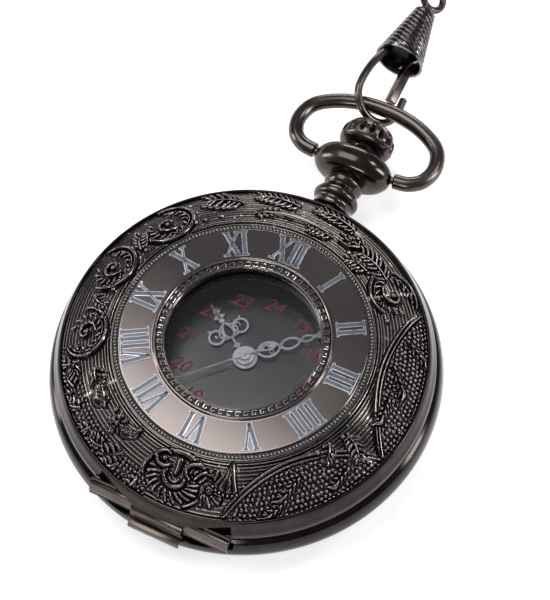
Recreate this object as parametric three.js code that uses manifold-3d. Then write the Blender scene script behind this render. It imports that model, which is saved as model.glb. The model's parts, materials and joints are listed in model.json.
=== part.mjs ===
// A demi-hunter pocket watch: case, hinged lid with a window, quartz movement, pendant, bow and snap hook.
// Millimetres. The watch lies on its back: +Z is the dial's normal, +Y points to 12 o'clock and the
// pendant, +X to 3 o'clock. The origin is the middle of the flat back.
import * as THREE from "three";
import { mergeVertices } from "three/addons/utils/BufferGeometryUtils.js";
import Module from "manifold-3d";

const wasm = await Module();
wasm.setup();

// ---- driving dimensions -------------------------------------------------------------------------
const CASE_R = 23.5; // widest radius of the case band
const SEAM_R = 22.6; // radius where lid and back meet the band
const BACK_TOP = 3.9; // height of the back cover's rim
const SEAM_Z = 8.1; // height of the joint between case and lid
const LID_TOP = 13.97; // highest ring round the window
const WINDOW_R = 9.06; // window edge
const CHAPTER_IN = 10.49; // inner edge of the numeral ring
const CHAPTER_OUT = 14.5; // outer edge of the numeral ring
const CHAPTER_Z = 13.7; // height of the numeral ring
const RELIEF_OUT = 21.4; // where the scrollwork ends and the lid's bevel starts
const PENDANT_Z = 6; // height of the pendant's, stem's and crown's axis
const BOW_Y = 31.2; // the bow turns about X here, in the pendant's ball
const BORE_R = 1.25; // the hole for the stem and its sleeve, through the band and the pendant
const GAP = 0.1; // clearance between pieces that only rest on each other

const HINGE = { y: -21.95, z: 8.1, pinR: 0.3, boreR: 0.38, r: 0.7, inner: 3.2, outer: 8.7 };
const HINGE_SEAT = { halfWidth: 9, front: -21.1, floor: 6.9, notchTop: 9.3 }; // cut in band and lid
const CASE_LEDGE = { y: -24, low: 6.2, top: 7.25 }; // carries the case's knuckle, lapping over the band
const CRYSTAL = { r: 18.3, z: 9.3, thick: 0.6 };
const DIAL = { r: 18.4, z: 7.3, thick: 0.2, hole: 0.85 };
const PLATE = { r: 13, bottom: 4.8, top: 6.6 };
const HAND_Z = { hour: 7.86, minute: 8.2, seconds: 8.54 };
const HAND_THICK = 0.16;
const BALL = { r: 5.2, flat: 0.7, low: 28.75, high: 32.95 }; // flattened across Z
const BOW = { halfWidth: 9.5, height: 9.5, wireR: 0.98, end: 5.45, pegR: 0.5, pegInner: 4.2 };
const STEM = { inner: 5.9, outer: 35, r: 0.5, grooveR: 0.3, grooveY: 10.6, grooveWide: 0.6 };
const CROWN = { base: 33.6, top: 37.1, r: 3.6, capR: 3, flutes: 16, fluteDepth: 0.1 };
const HOOK = { x: -1.4, roll: 40, wireR: 0.52, loopR: 3.4, bottom: 7.6, mouth: 17.4, tip: 13.4 };
const CONE = { mouthR: 3.3, wall: 0.3, length: 8.5, slope: 0.21 };
const GATE = { topX: 1.6, tipX: 1.75, wide: 1.3, halfDeep: 0.5, tip: 11.6, pinHalf: 2.2 };
const GATE_EYE = { pinR: 0.15, holeR: 0.2, r: 0.42, rise: 0.75, cover: 0.35 };
const SWIVEL = { postR: 0.5, eyeR: 1.7, eyeWire: 0.48, ringR: 2.6, ringWire: 0.42 };

// Wheel train: teeth, module and place of each axis. The seconds and centre wheels share the dial's axis.
const TRAIN = {
  fifth: { teeth: 30, module: 0.15, leaves: 6, leafModule: 0.16, angle: -15, level: 3.6 },
  seconds: { teeth: 36, module: 0.16, leaves: 6, leafModule: 0.127, level: 3.2 },
  third: { teeth: 45, module: 0.127, leaves: 6, leafModule: 0.12, angle: 120, level: 3.6 },
  centre: { teeth: 48, module: 0.12, leaves: 8, leafModule: 0.2, level: 4.0 },
  minute: { teeth: 24, module: 0.2, leaves: 8, leafModule: 0.16, angle: 90, level: 6.68 },
  hour: { teeth: 32, module: 0.16, level: 6.95 },
};
const WHEEL_THICK = 0.18;
const ROTOR = { leaves: 6, module: 0.15, magnetR: 0.9, low: 3.86, high: 4.32 };

const ROUND = 48; // sides of the large turned parts
const SMALL = 20; // sides of pins and posts

// ---- materials ----------------------------------------------------------------------------------
const metal = (color, roughness) => new THREE.MeshStandardMaterial({ color, roughness, metalness: 1 });
const plain = (color, roughness) => new THREE.MeshStandardMaterial({ color, roughness, metalness: 0 });
const GUNMETAL = metal(0x3b3735, 0.25);
const STEEL = metal(0xb9bcc0, 0.3);
const WHITE_HAND = metal(0xe6e8ea, 0.35);
const BRASS = metal(0xc8a45c, 0.35);
const COPPER = metal(0xb4602f, 0.4);
const BLACK_DIAL = plain(0x18181a, 0.45);
const BLACK_PLASTIC = plain(0x202022, 0.6);
const GREEN_BOARD = plain(0x1f5a35, 0.6);
const GLASS = new THREE.MeshStandardMaterial({
  color: 0xffffff,
  roughness: 0.03,
  metalness: 0,
  transparent: true,
  opacity: 0.3,
});

const watch = new THREE.Group();

function add(name, geometry, material) {
  const mesh = new THREE.Mesh(geometry, material);
  mesh.name = name;
  watch.add(mesh);
}

// ---- shape helpers ------------------------------------------------------------------------------
const rad = THREE.MathUtils.degToRad;
const polar = (r, degrees) => [r * Math.cos(rad(degrees)), r * Math.sin(rad(degrees))];

// A turned solid about Z from a closed (radius, height) outline, which may touch the axis.
function turned(outline, sides = ROUND) {
  const points = outline.map(([r, z]) => new THREE.Vector2(r, z));
  if (THREE.ShapeUtils.area(points) < 0) points.reverse();
  points.push(points[0].clone());
  return new THREE.LatheGeometry(points, sides).rotateX(Math.PI / 2);
}

// The same about +Y at height z and place x: the outline is (radius, y).
function turnedAlongY(outline, z, sides = SMALL, x = 0) {
  return turned(outline, sides).rotateX(-Math.PI / 2).translate(x, 0, z);
}

const disc = (r, low, high, sides = ROUND) => turned([[0, low], [r, low], [r, high], [0, high]], sides);
const ring = (inner, outer, low, high, sides = ROUND) =>
  turned([[inner, low], [outer, low], [outer, high], [inner, high]], sides);

function block(x0, x1, y0, y1, z0, z1) {
  const box = new THREE.BoxGeometry(x1 - x0, y1 - y0, z1 - z0);
  return box.translate((x0 + x1) / 2, (y0 + y1) / 2, (z0 + z1) / 2);
}

// A flat plate between two heights, from outline points in XY and round holes [x, y, r].
function plate(outline, low, high, holes = []) {
  const shape = new THREE.Shape(outline.map(([x, y]) => new THREE.Vector2(x, y)));
  for (const [x, y, r] of holes) shape.holes.push(new THREE.Path().absarc(x, y, r, 0, 2 * Math.PI, true));
  const depth = high - low;
  const options = { depth, bevelEnabled: false, curveSegments: 8 };
  return new THREE.ExtrudeGeometry(shape, options).translate(0, 0, low);
}

// A round wire along a curve through the given points.
function wire(points, radius, steps, sides = 10, closed = false) {
  const curve = new THREE.CatmullRomCurve3(points, closed, "centripetal");
  const section = new THREE.Shape().absarc(0, 0, radius, 0, 2 * Math.PI);
  const options = { steps, extrudePath: curve, curveSegments: sides, bevelEnabled: false };
  return new THREE.ExtrudeGeometry(section, options);
}

// manifold-3d joins and cuts closed meshes.
function solid(geometry) {
  const bare = geometry.clone();
  bare.deleteAttribute("normal");
  bare.deleteAttribute("uv");
  const merged = mergeVertices(bare, 1e-4);
  const corners = [];
  for (let i = 0; i < merged.index.count; i += 3) {
    const [a, b, c] = [0, 1, 2].map((k) => merged.index.getX(i + k));
    if (a !== b && b !== c && c !== a) corners.push(a, b, c);
  }
  const triVerts = new Uint32Array(corners);
  const vertProperties = merged.getAttribute("position").array;
  return new wasm.Manifold(new wasm.Mesh({ numProp: 3, vertProperties, triVerts }));
}

function surface(body) {
  const { vertProperties, triVerts } = body.getMesh();
  const geometry = new THREE.BufferGeometry();
  geometry.setAttribute("position", new THREE.BufferAttribute(vertProperties, 3));
  geometry.setIndex(new THREE.BufferAttribute(triVerts, 1));
  geometry.computeVertexNormals();
  return geometry;
}

function joined(first, ...others) {
  return surface(others.reduce((body, other) => body.add(solid(other)), solid(first)));
}

function cut(first, ...others) {
  return surface(others.reduce((body, other) => body.subtract(solid(other)), solid(first)));
}

// A toothed wheel with pointed teeth. phase is the angle of one tooth's tip.
function gear(teeth, module, low, high, phase = 0, hole = 0) {
  const pitchR = (teeth * module) / 2;
  const outline = [];
  for (let i = 0; i < teeth; i++) {
    const tip = phase + (360 * i) / teeth;
    outline.push(polar(pitchR + 0.8 * module, tip), polar(pitchR - 1.1 * module, tip + 180 / teeth));
  }
  return plate(outline, low, high, hole ? [[0, 0, hole]] : []);
}

// ---- case ---------------------------------------------------------------------------------------
function backCover() {
  const outline = [
    [0, 0], [10, 0], [14, 0.35], [18, 1.2], [20.8, 2.4], [SEAM_R, BACK_TOP],
    [21.6, BACK_TOP], [21.6, 4.6], [21, 4.6], [21, 3.7], [19.8, 2.9], [17.4, 1.9],
    [13.8, 1.05], [10, 0.7], [0, 0.7],
  ];
  add("back_cover", turned(outline), GUNMETAL);
}

function caseMiddle() {
  const outline = [
    [SEAM_R, BACK_TOP + GAP], [23.2, 4.7], [CASE_R, 5.6], [CASE_R, 6.4], [23.2, 7.3],
    [SEAM_R, SEAM_Z - 0.05], [19.5, SEAM_Z - 0.05], [19.5, 4.9], [21.8, 4.9], [21.8, BACK_TOP + GAP],
  ];
  const { halfWidth, front, floor } = HINGE_SEAT;
  const hingeSeat = block(-halfWidth, halfWidth, -CASE_R - 1, front, floor, SEAM_Z + 1);
  const stemHole = turnedAlongY([[0, 18], [BORE_R, 18], [BORE_R, 26], [0, 26]], PENDANT_Z);
  const catchPocket = block(-3, 3, 19, 21.5, 4.4, 9);
  add("case_middle", cut(turned(outline), hingeSeat, stemHole, catchPocket), GUNMETAL);
}

// The scrollwork zone falls away from the numeral ring in a dome.
const reliefZ = (r) => 13.55 - 2.75 * ((r - 14.9) / (RELIEF_OUT - 14.9)) ** 1.6;

function frontLid() {
  const dome = [14.9, 17, 19, 20.4, RELIEF_OUT].map((r) => [r, reliefZ(r)]);
  const outline = [
    [WINDOW_R, 13.4], [9.5, 13.85], [10.1, LID_TOP], [CHAPTER_IN, CHAPTER_Z],
    [CHAPTER_OUT, CHAPTER_Z], ...dome, [22.4, 9.2], [SEAM_R, SEAM_Z + 0.05],
    [21.9, SEAM_Z + 0.05], [21.7, 8.9], [20.6, 10.1], [17.5, 11.7], [14.5, 12.7], [11.2, 12.8],
    [11.2, 11.3], [10.45, 11.3], [10.45, 12.85], [WINDOW_R, 12.85],
  ];
  const { halfWidth, front, notchTop } = HINGE_SEAT;
  const hingeNotch = block(-halfWidth, halfWidth, -CASE_R - 1, front, SEAM_Z - 1, notchTop);
  add("front_lid", cut(turned(outline), hingeNotch), GUNMETAL);
  add("lid_glass", disc(10.3, 12.05, 12.8, 48), GLASS);
  add("lid_glass_ring", ring(9.3, 10.35, 10.45, 11.95, 48), GUNMETAL);
}

// A knuckle of the lid hinge: a barrel on the pin with a foot that runs back to its plate.
function knuckle(x0, x1, foot) {
  const along = (geometry) => geometry.rotateY(Math.PI / 2).translate(0, HINGE.y, HINGE.z);
  const barrel = along(disc(HINGE.r, x0, x1, SMALL));
  const bore = along(disc(HINGE.boreR, x0 - 1, x1 + 1, 16));
  return cut(joined(barrel, foot), bore);
}

function hinge() {
  const { inner, outer, y, z } = HINGE;
  const footTop = HINGE_SEAT.notchTop - GAP;
  for (const [side, x0, x1] of [["left", -outer, -inner - GAP], ["right", inner + GAP, outer]]) {
    const foot = block(x0, x1, y, HINGE_SEAT.front - GAP, z + GAP, footTop);
    add(`lid_knuckle_${side}`, knuckle(x0, x1, foot), GUNMETAL);
  }
  const seatFloor = HINGE_SEAT.floor + GAP;
  const [outside, top] = [CASE_LEDGE.y, CASE_LEDGE.top];
  const ledge = joined(
    block(-inner, inner, outside, HINGE_SEAT.front - 2 * GAP, seatFloor, top),
    block(-inner, inner, outside, -CASE_R - GAP, CASE_LEDGE.low, seatFloor + GAP),
    block(-inner, inner, y - 0.4, y + 0.4, top - 0.05, z - HINGE.boreR),
  );
  add("case_knuckle", knuckle(-inner, inner, ledge), GUNMETAL);
  const pin = disc(HINGE.pinR, -outer, outer, 16).rotateY(Math.PI / 2);
  add("hinge_pin", pin.translate(0, y, z), STEEL);
}

// Steel strips inside the band: the lift spring behind the hinge and the catch at 12 o'clock.
function lidStrips() {
  const arc = [];
  for (let a = 200; a <= 340; a += 10) arc.push(polar(19.25, a));
  for (let a = 340; a >= 200; a -= 10) arc.push(polar(18.85, a));
  add("lid_lift_spring", plate(arc, 4.9, 6.9), STEEL);
  const upright = joined(block(-2.5, 2.5, 20.3, 20.8, 4.95, 8.6), block(-1.5, 1.5, 20.7, 21.3, 8.25, 8.6));
  const stemHole = turnedAlongY([[0, 19], [0.75, 19], [0.75, 22], [0, 22]], PENDANT_Z);
  add("lid_catch", cut(upright, stemHole), STEEL);
}

function crystal() {
  const top = CRYSTAL.z + CRYSTAL.thick;
  const outline = [
    [18.45, SEAM_Z + GAP], [21.2, SEAM_Z + GAP], [21.2, 8.9], [19.4, top + 0.35], [17.9, top + 0.35],
    [17.9, top + 0.05], [18.45, top + 0.05],
  ];
  const catchNotch = block(-2.9, 2.9, 19.7, 24, 7, 9.2);
  add("crystal_bezel", cut(turned(outline), catchNotch), GUNMETAL);
  add("crystal", disc(CRYSTAL.r, CRYSTAL.z, top), GLASS);
}

function dial() {
  const top = DIAL.z + DIAL.thick;
  add("dial", ring(DIAL.hole, DIAL.r, DIAL.z, top), BLACK_DIAL);
  const slope = [[16.9, top + 0.05], [18.3, top + 0.05], [18.3, CRYSTAL.z - 0.05], [17.5, CRYSTAL.z - 0.05]];
  add("dial_ring", turned(slope), BLACK_DIAL);
}

// ---- hands --------------------------------------------------------------------------------------
// Each hand is drawn pointing to 12 and turned to the time shown: 10:08:37.
const TIME = { hour: 304.3, minute: 47.3, seconds: 224.3 };

function hand(name, outline, holes, angle, low) {
  const geometry = plate(outline, low, low + HAND_THICK, holes);
  add(name, geometry.rotateZ(-rad(angle)), WHITE_HAND);
}

// A left-right symmetrical outline from its right half, given from the tail to the tip.
const mirrored = (half) => [...half, ...half.map(([x, y]) => [-x, y]).reverse()];

function hands() {
  const hub = (r, from, to) => {
    const points = [];
    for (let a = from; a <= to; a += 15) points.push(polar(r, a));
    return points;
  };
  const hourHalf = [
    ...hub(1.5, -90, 60), [0.3, 2.4], [1.6, 3.1], [1.9, 4.2], [1.1, 5.2], [0.35, 5.6], [0.8, 6.3],
    [0.3, 7], [0.1, 8.3],
  ];
  const hourHoles = [[0, 0, 0.68], [0.95, 4, 0.5], [-0.95, 4, 0.5]];
  hand("hour_hand", mirrored(hourHalf), hourHoles, TIME.hour, HAND_Z.hour);
  const minuteHalf = [
    ...hub(1.1, -90, 75), [0.22, 3], [0.75, 3.8], [0.7, 4.5], [0.25, 5.2], [0.7, 5.9], [0.75, 6.6],
    [0.25, 7.4], [0.75, 8.2], [0.3, 9.2], [0.1, 11.4],
  ];
  hand("minute_hand", mirrored(minuteHalf), [[0, 0, 0.46]], TIME.minute, HAND_Z.minute);
  const secondsHalf = [
    [0.1, -4], [0.32, -3.3], [0.12, -2.2], [0.12, -0.8], ...hub(0.62, -60, 75), [0.09, 1.5], [0.05, 11.8],
  ];
  hand("seconds_hand", mirrored(secondsHalf), [[0, 0, 0.2]], TIME.seconds, HAND_Z.seconds);
}

// ---- movement -----------------------------------------------------------------------------------
const between = (teethA, teethB, module) => ((teethA + teethB) * module) / 2;
const fifthReach = between(TRAIN.seconds.teeth, TRAIN.fifth.leaves, TRAIN.fifth.leafModule);
const thirdReach = between(TRAIN.third.teeth, TRAIN.seconds.leaves, TRAIN.third.module);
const minuteReach = between(TRAIN.minute.teeth, TRAIN.centre.leaves, TRAIN.minute.module);
const rotorReach = between(TRAIN.fifth.teeth, ROTOR.leaves, ROTOR.module);
const fifthAt = polar(fifthReach, TRAIN.fifth.angle);
const thirdAt = polar(thirdReach, TRAIN.third.angle);
const minuteAt = polar(minuteReach, TRAIN.minute.angle);
const rotorAt = polar(rotorReach, TRAIN.fifth.angle).map((v, i) => v + fifthAt[i]);

// A wheel with its pinion above or below it and an arbor through both.
function wheelAndPinion(wheel, pinionLow, pinionHigh, arborR, arborLow, arborHigh, phases) {
  const low = wheel.level;
  return joined(
    gear(wheel.teeth, wheel.module, low, low + WHEEL_THICK, phases[0]),
    gear(wheel.leaves, wheel.leafModule, pinionLow, pinionHigh, phases[1]),
    disc(arborR, arborLow, arborHigh, 12),
  );
}

// The phase that puts a gap of the followed wheel's partner opposite a tooth at this angle.
const facing = (angle, teeth) => angle + 180 + 180 / teeth;

function wheels() {
  const { fifth, seconds, third, centre, minute, hour } = TRAIN;
  const arborLow = 2.88;
  const arborHigh = PLATE.bottom - 0.05;
  const secondsPhases = [fifth.angle, third.angle];
  const fifthPhases = [fifth.angle, facing(fifth.angle, fifth.leaves)];
  const thirdPhases = [facing(third.angle, third.teeth), facing(third.angle, third.leaves)];
  const secondsWheel = wheelAndPinion(seconds, seconds.level, 3.82, 0.14, arborLow, 8.72, secondsPhases);
  add("seconds_wheel", secondsWheel, BRASS);
  const fifthWheel = wheelAndPinion(fifth, 3.14, 3.7, 0.14, arborLow, arborHigh, fifthPhases);
  add("fifth_wheel", fifthWheel.translate(...fifthAt, 0), BRASS);
  const thirdWheel = wheelAndPinion(third, 3.7, 4.24, 0.14, arborLow, arborHigh, thirdPhases);
  add("third_wheel", thirdWheel.translate(...thirdAt, 0), BRASS);

  // The centre wheel's tube carries the cannon pinion and the minute hand, round the seconds arbor.
  const tube = joined(
    gear(centre.teeth, centre.module, centre.level, centre.level + WHEEL_THICK, third.angle),
    disc(0.4, centre.level, 8.42, 16),
    gear(centre.leaves, centre.leafModule, minute.level, minute.level + 0.2, minute.angle),
  );
  add("centre_wheel", cut(tube, disc(0.24, 3, 9, 12)), BRASS);
  const minutePhases = [facing(minute.angle, minute.teeth), facing(minute.angle, minute.leaves)];
  const minuteWheel = wheelAndPinion(minute, 6.8, 7.16, 0.2, 6.64, 7.22, minutePhases);
  add("minute_wheel", minuteWheel.translate(...minuteAt, 0), BRASS);
  const hourWheel = joined(
    gear(hour.teeth, hour.module, hour.level, hour.level + WHEEL_THICK, minute.angle),
    disc(0.62, hour.level, 8.08, 16),
  );
  add("hour_wheel", cut(hourWheel, disc(0.47, 6, 9, 16)), BRASS);
}

function motor() {
  const magnet = joined(
    disc(ROTOR.magnetR, ROTOR.low, ROTOR.high, 16),
    gear(ROTOR.leaves, ROTOR.module, 3.5, ROTOR.low + 0.02, facing(TRAIN.fifth.angle, ROTOR.leaves)),
    disc(0.14, 2.88, PLATE.bottom - 0.05, 12),
  );
  add("rotor", magnet.translate(...rotorAt, 0), STEEL);
  const legs = [[4.2, -8.9], [6.9, -8.9], [7.9, -4], [7.9, 0], [4.4, 0], [4.2, -4]];
  add("stator", plate(legs, 3.9, 4.28, [[...rotorAt, ROTOR.magnetR + 0.25]]), STEEL);
  const spool = [
    [0, -1.6], [0.5, -1.6], [0.5, -1], [1.2, -1], [1.2, 3.6], [0.5, 3.6], [0.5, 4.1], [0, 4.1],
  ];
  const core = turnedAlongY(spool, 3.5, 16);
  add("coil", core.rotateZ(-Math.PI / 2).translate(0, -10.1, 0), COPPER);
}

function electronics() {
  const board = [[-11.5, -1.5], [-4, -1.5], [-4.9, 3], [-4.5, 7.5], [-9, 8.5], [-11.5, 5]];
  add("circuit_board", plate(board, 4.35, 4.6), GREEN_BOARD);
  add("ic_chip", block(-7.5, -5.5, 5.2, 7.2, 3.7, 4.3), BLACK_PLASTIC);
  const can = turnedAlongY([[0, 1], [0.75, 1], [0.75, 5.8], [0, 5.8]], 3.5, 14, -9);
  add("quartz_crystal", can, STEEL);
  add("battery", disc(3.4, 2.1, 4.7, 32).translate(-6, -5.5, 0), STEEL);
  const strap = [[-9.8, -3.6], [-9, -2.2], [-2.2, -7.4], [-3, -8.8]];
  add("battery_clip", plate(strap, 1.75, 2.03), STEEL);
}

const SCREWS = [[8.5, 5], [-3, 9.3], [2.6, -5.2]];

function plates() {
  const body = ring(0.8, PLATE.r, PLATE.bottom, PLATE.top, 36);
  const stemSlot = block(-1.1, 1.1, 5.7, 14, 4.95, 7);
  const detentSlot = block(-1.9, 1.9, 10.3, 12.5, 5.2, 7);
  add("main_plate", cut(body, stemSlot, detentSlot), BRASS);
  const edge = [];
  for (let a = -25; a <= 125; a += 10) edge.push(polar(12.5, a));
  const outline = [...edge, [-5.2, 2], [-2.2, -4.2], [2, -6.6], [7.5, -6.6]];
  add("train_bridge", plate(outline, 2.4, 2.8, SCREWS.map(([x, y]) => [x, y, 0.5])), BRASS);
  SCREWS.forEach(([x, y], i) => {
    const screw = turned([[0, 1.95], [0.8, 1.95], [0.8, 2.35], [0.4, 2.35], [0.4, 4.75], [0, 4.75]], 12);
    add(`bridge_screw_${i + 1}`, screw.translate(x, y, 0), STEEL);
  });
  const holder = ring(PLATE.r + 0.2, 18.6, 3.3, 7.2, 36);
  const channel = block(-0.8, 0.8, 12, 20, 5.2, 8);
  add("movement_holder", cut(holder, channel), BLACK_PLASTIC);
}

// ---- stem, pendant, crown and bow ---------------------------------------------------------------
function stem() {
  const { inner, outer, r, grooveR, grooveY, grooveWide } = STEM;
  const outline = [
    [0, inner], [r, inner], [r, grooveY], [grooveR, grooveY], [grooveR, grooveY + grooveWide],
    [r, grooveY + grooveWide], [r, outer], [0, outer],
  ];
  add("setting_stem", turnedAlongY(outline, PENDANT_Z, 16), STEEL);
  const pinion = gear(10, 0.17, 6.6, 7.6, 0, r + 0.05).rotateX(-Math.PI / 2).translate(0, 0, PENDANT_Z);
  add("setting_pinion", pinion, STEEL);
  const middle = grooveY + grooveWide / 2;
  const clip = block(-1.6, 1.6, middle - 0.2, middle + 0.2, 5.35, 6.5);
  const fork = block(-grooveR - 0.05, grooveR + 0.05, 9, 13, PENDANT_Z - grooveR - 0.05, 7);
  add("stem_detent", cut(clip, fork), STEEL);
}

function pendant() {
  const neck = turnedAlongY([
    [BORE_R, 23.6], [2.7, 23.6], [2.4, 24.4], [2.5, 24.9], [2.9, 25.2], [2.9, 26], [2.4, 26.5],
    [2.1, 27], [2.4, 27.4], [2.55, 27.9], [2.4, 28.4], [2.1, 28.75], [2.1, 30.6], [BORE_R, 30.6],
  ], 0, 24);
  const [middle, half] = [(BALL.low + BALL.high) / 2, (BALL.high - BALL.low) / 2];
  const swell = [[0.42, -1], [0.75, -0.86], [0.93, -0.5], [1, -0.05], [0.95, 0.45], [0.78, 0.8], [0.42, 1]];
  const profile = swell.map(([r, y]) => [r * BALL.r, middle + y * half]);
  const core = [[BORE_R, BALL.high], [BORE_R, BALL.low]];
  const ball = turnedAlongY([...profile, ...core], 0, 32).scale(1, 1, BALL.flat);
  const socket = disc(BOW.pegR + 0.06, -BOW.end, BOW.end, 16).rotateY(Math.PI / 2).translate(0, BOW_Y, 0);
  const bore = turnedAlongY([[0, 20], [BORE_R, 20], [BORE_R, 40], [0, 40]], 0);
  const body = cut(joined(neck, ball), socket, bore);
  add("pendant", body.translate(0, 0, PENDANT_Z), GUNMETAL);
  const sleeve = [[0.62, 21.6], [1.12, 21.6], [1.12, 33.3], [0.62, 33.3]];
  add("pendant_sleeve", turnedAlongY(sleeve, PENDANT_Z), STEEL);
}

// The fluted crown, hollow below so that it can drop over the sleeve when pressed.
function crown() {
  const { base, top, r, capR, flutes, fluteDepth } = CROWN;
  const outline = [
    [1.35, base], [2.3, base], [3.3, base + 0.7], [r, base + 1.6], [r - 0.1, base + 2.3],
    [capR + 0.1, base + 2.75], [capR, base + 3.2], [capR - 0.7, top], [0, top], [0, 36], [0.58, 36],
    [0.58, 34.6], [1.35, 34.6],
  ];
  const geometry = turned(outline, 4 * flutes);
  const place = geometry.getAttribute("position");
  for (let i = 0; i < place.count; i++) {
    const [x, y] = [place.getX(i), place.getY(i)];
    if (Math.hypot(x, y) < capR + 0.05) continue;
    const scale = 1 - fluteDepth * (0.5 - 0.5 * Math.cos(flutes * Math.atan2(y, x)));
    place.setXY(i, x * scale, y * scale);
  }
  add("crown", geometry.rotateX(-Math.PI / 2).translate(0, 0, PENDANT_Z), GUNMETAL);
}

// Half of the bow's centre line, from the ball outwards, about the pivot.
function bowCurve() {
  const half = [[BOW.end, 0], [7.4, 0.35], [8.9, 1.6], [BOW.halfWidth, 3.9], [8.6, 6.5], [6, 8.3], [3, 9.25]];
  const line = [...half, [0, BOW.height], ...half.map(([x, y]) => [-x, y]).reverse()];
  return line.map(([x, y]) => new THREE.Vector3(x, y, 0));
}

function bow() {
  const peg = (side) => {
    const ends = [side * BOW.pegInner, side * (BOW.end + 0.6)];
    return disc(BOW.pegR, Math.min(...ends), Math.max(...ends), 12).rotateY(Math.PI / 2);
  };
  const body = joined(wire(bowCurve(), BOW.wireR, 40, 5), peg(1), peg(-1));
  add("bow", body.translate(0, BOW_Y, PENDANT_Z), GUNMETAL);
}

// ---- snap hook ----------------------------------------------------------------------------------
// The hook is drawn flat in XY about the clasp's axis, rolled, and moved onto the bow.
const ontoBow = (geometry) => geometry.rotateY(rad(HOOK.roll)).translate(HOOK.x, BOW_Y, PENDANT_Z);

function snapHook() {
  const { wireR, loopR, bottom, mouth, tip } = HOOK;
  const centre = bottom + loopR;
  const line = [[-2.1, mouth + 1.2], [-2.25, mouth], [-2.7, mouth - 2.6], [-loopR, centre + 1.6]];
  for (let a = 180; a <= 360; a += 20) {
    const [x, y] = polar(loopR, a);
    line.push([x, centre + y]);
  }
  line.push([loopR - 0.1, tip]);
  const centreLine = line.map(([x, y]) => new THREE.Vector3(x, y, 0));
  add("clasp_hook", ontoBow(wire(centreLine, wireR, 32, 4)), GUNMETAL);

  const rear = mouth + CONE.length;
  const innerR = CONE.mouthR - CONE.wall;
  const shell = [
    [innerR, mouth], [CONE.mouthR, mouth], [CONE.mouthR - CONE.slope * CONE.length, rear],
    [SWIVEL.postR + 0.12, rear], [SWIVEL.postR + 0.12, rear - 0.8], [0.95, rear - 0.8], [0.95, rear - 2.4],
    [0, rear - 2.4], [0, mouth + 1.5], [innerR - 1.5 * CONE.slope, mouth + 1.5],
  ];
  add("clasp_body", ontoBow(turnedAlongY(shell, 0, 24)), GUNMETAL);
  gate();
  swivel(rear);
}

// The sprung leaf that closes the hook, on a pin across the cone's mouth.
function gate() {
  const { topX, tipX, wide, halfDeep, tip, pinHalf } = GATE;
  const { pinR, holeR, r, rise, cover } = GATE_EYE;
  const pinY = HOOK.mouth + rise;
  const end = (x, y) => [[x - wide / 2, y], [x + wide / 2, y]];
  const outline = [...end(topX, pinY + cover), ...end(tipX, tip).reverse()];
  const round = (radius, half, sides) => disc(radius, -half, half, sides).translate(topX, pinY, 0);
  const leaf = joined(plate(outline, -halfDeep, halfDeep), round(r, halfDeep, 14));
  add("clasp_gate", ontoBow(cut(leaf, round(holeR, 1, 10))), GUNMETAL);
  add("clasp_gate_pin", ontoBow(round(pinR, pinHalf, 10)), STEEL);
}

function loop(radius, wireR, steps) {
  const points = [];
  for (let a = 0; a < 360; a += 30) points.push(new THREE.Vector3(...polar(radius, a), 0));
  return wire(points, wireR, steps, 4, true);
}

function swivel(rear) {
  const { postR, eyeR, eyeWire, ringR, ringWire } = SWIVEL;
  const eyeY = rear + 1.2 + eyeR;
  const post = turnedAlongY([
    [0, rear - 2.2], [0.85, rear - 2.2], [0.85, rear - 0.9], [postR, rear - 0.9], [postR, rear + 0.1],
    [0.9, rear + 0.1], [0.9, rear + 0.7], [postR, rear + 1.3], [0, rear + 1.3],
  ], 0, 16);
  const eye = loop(eyeR, eyeWire, 20).translate(0, eyeY, 0);
  add("clasp_swivel", ontoBow(joined(post, eye)), GUNMETAL);
  const end = loop(ringR, ringWire, 24).rotateY(Math.PI / 2).translate(0, eyeY + eyeR + ringR - 1, 0);
  add("clasp_ring", ontoBow(end), GUNMETAL);
}

backCover();
caseMiddle();
frontLid();
hinge();
lidStrips();
crystal();
dial();
hands();
wheels();
motor();
electronics();
plates();
stem();
pendant();
crown();
bow();
snapHook();

export default watch;
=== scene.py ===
"""Looks of the demi-hunter pocket watch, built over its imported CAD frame.

The watch lies on its back: +Z is the dial's normal, +Y points to 12 o'clock, +X to 3 o'clock.
Shapes are worked out in millimetres and turned into metres when a mesh is made.
"""

import json
import math

import bmesh
import bpy
import numpy as np
from mathutils import Matrix, Vector


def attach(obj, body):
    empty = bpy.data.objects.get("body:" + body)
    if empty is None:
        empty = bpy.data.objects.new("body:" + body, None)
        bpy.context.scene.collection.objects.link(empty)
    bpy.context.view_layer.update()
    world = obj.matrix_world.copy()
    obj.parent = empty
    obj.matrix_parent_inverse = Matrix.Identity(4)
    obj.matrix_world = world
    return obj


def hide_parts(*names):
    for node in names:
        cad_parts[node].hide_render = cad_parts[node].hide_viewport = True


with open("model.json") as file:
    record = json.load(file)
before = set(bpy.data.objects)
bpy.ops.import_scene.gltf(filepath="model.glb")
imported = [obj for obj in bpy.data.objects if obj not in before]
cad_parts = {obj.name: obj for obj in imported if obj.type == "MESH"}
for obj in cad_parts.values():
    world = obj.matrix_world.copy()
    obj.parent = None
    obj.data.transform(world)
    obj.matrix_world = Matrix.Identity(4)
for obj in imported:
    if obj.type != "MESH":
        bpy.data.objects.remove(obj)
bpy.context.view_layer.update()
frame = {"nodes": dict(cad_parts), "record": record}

MM = 0.001
TURN = 2 * math.pi

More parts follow.
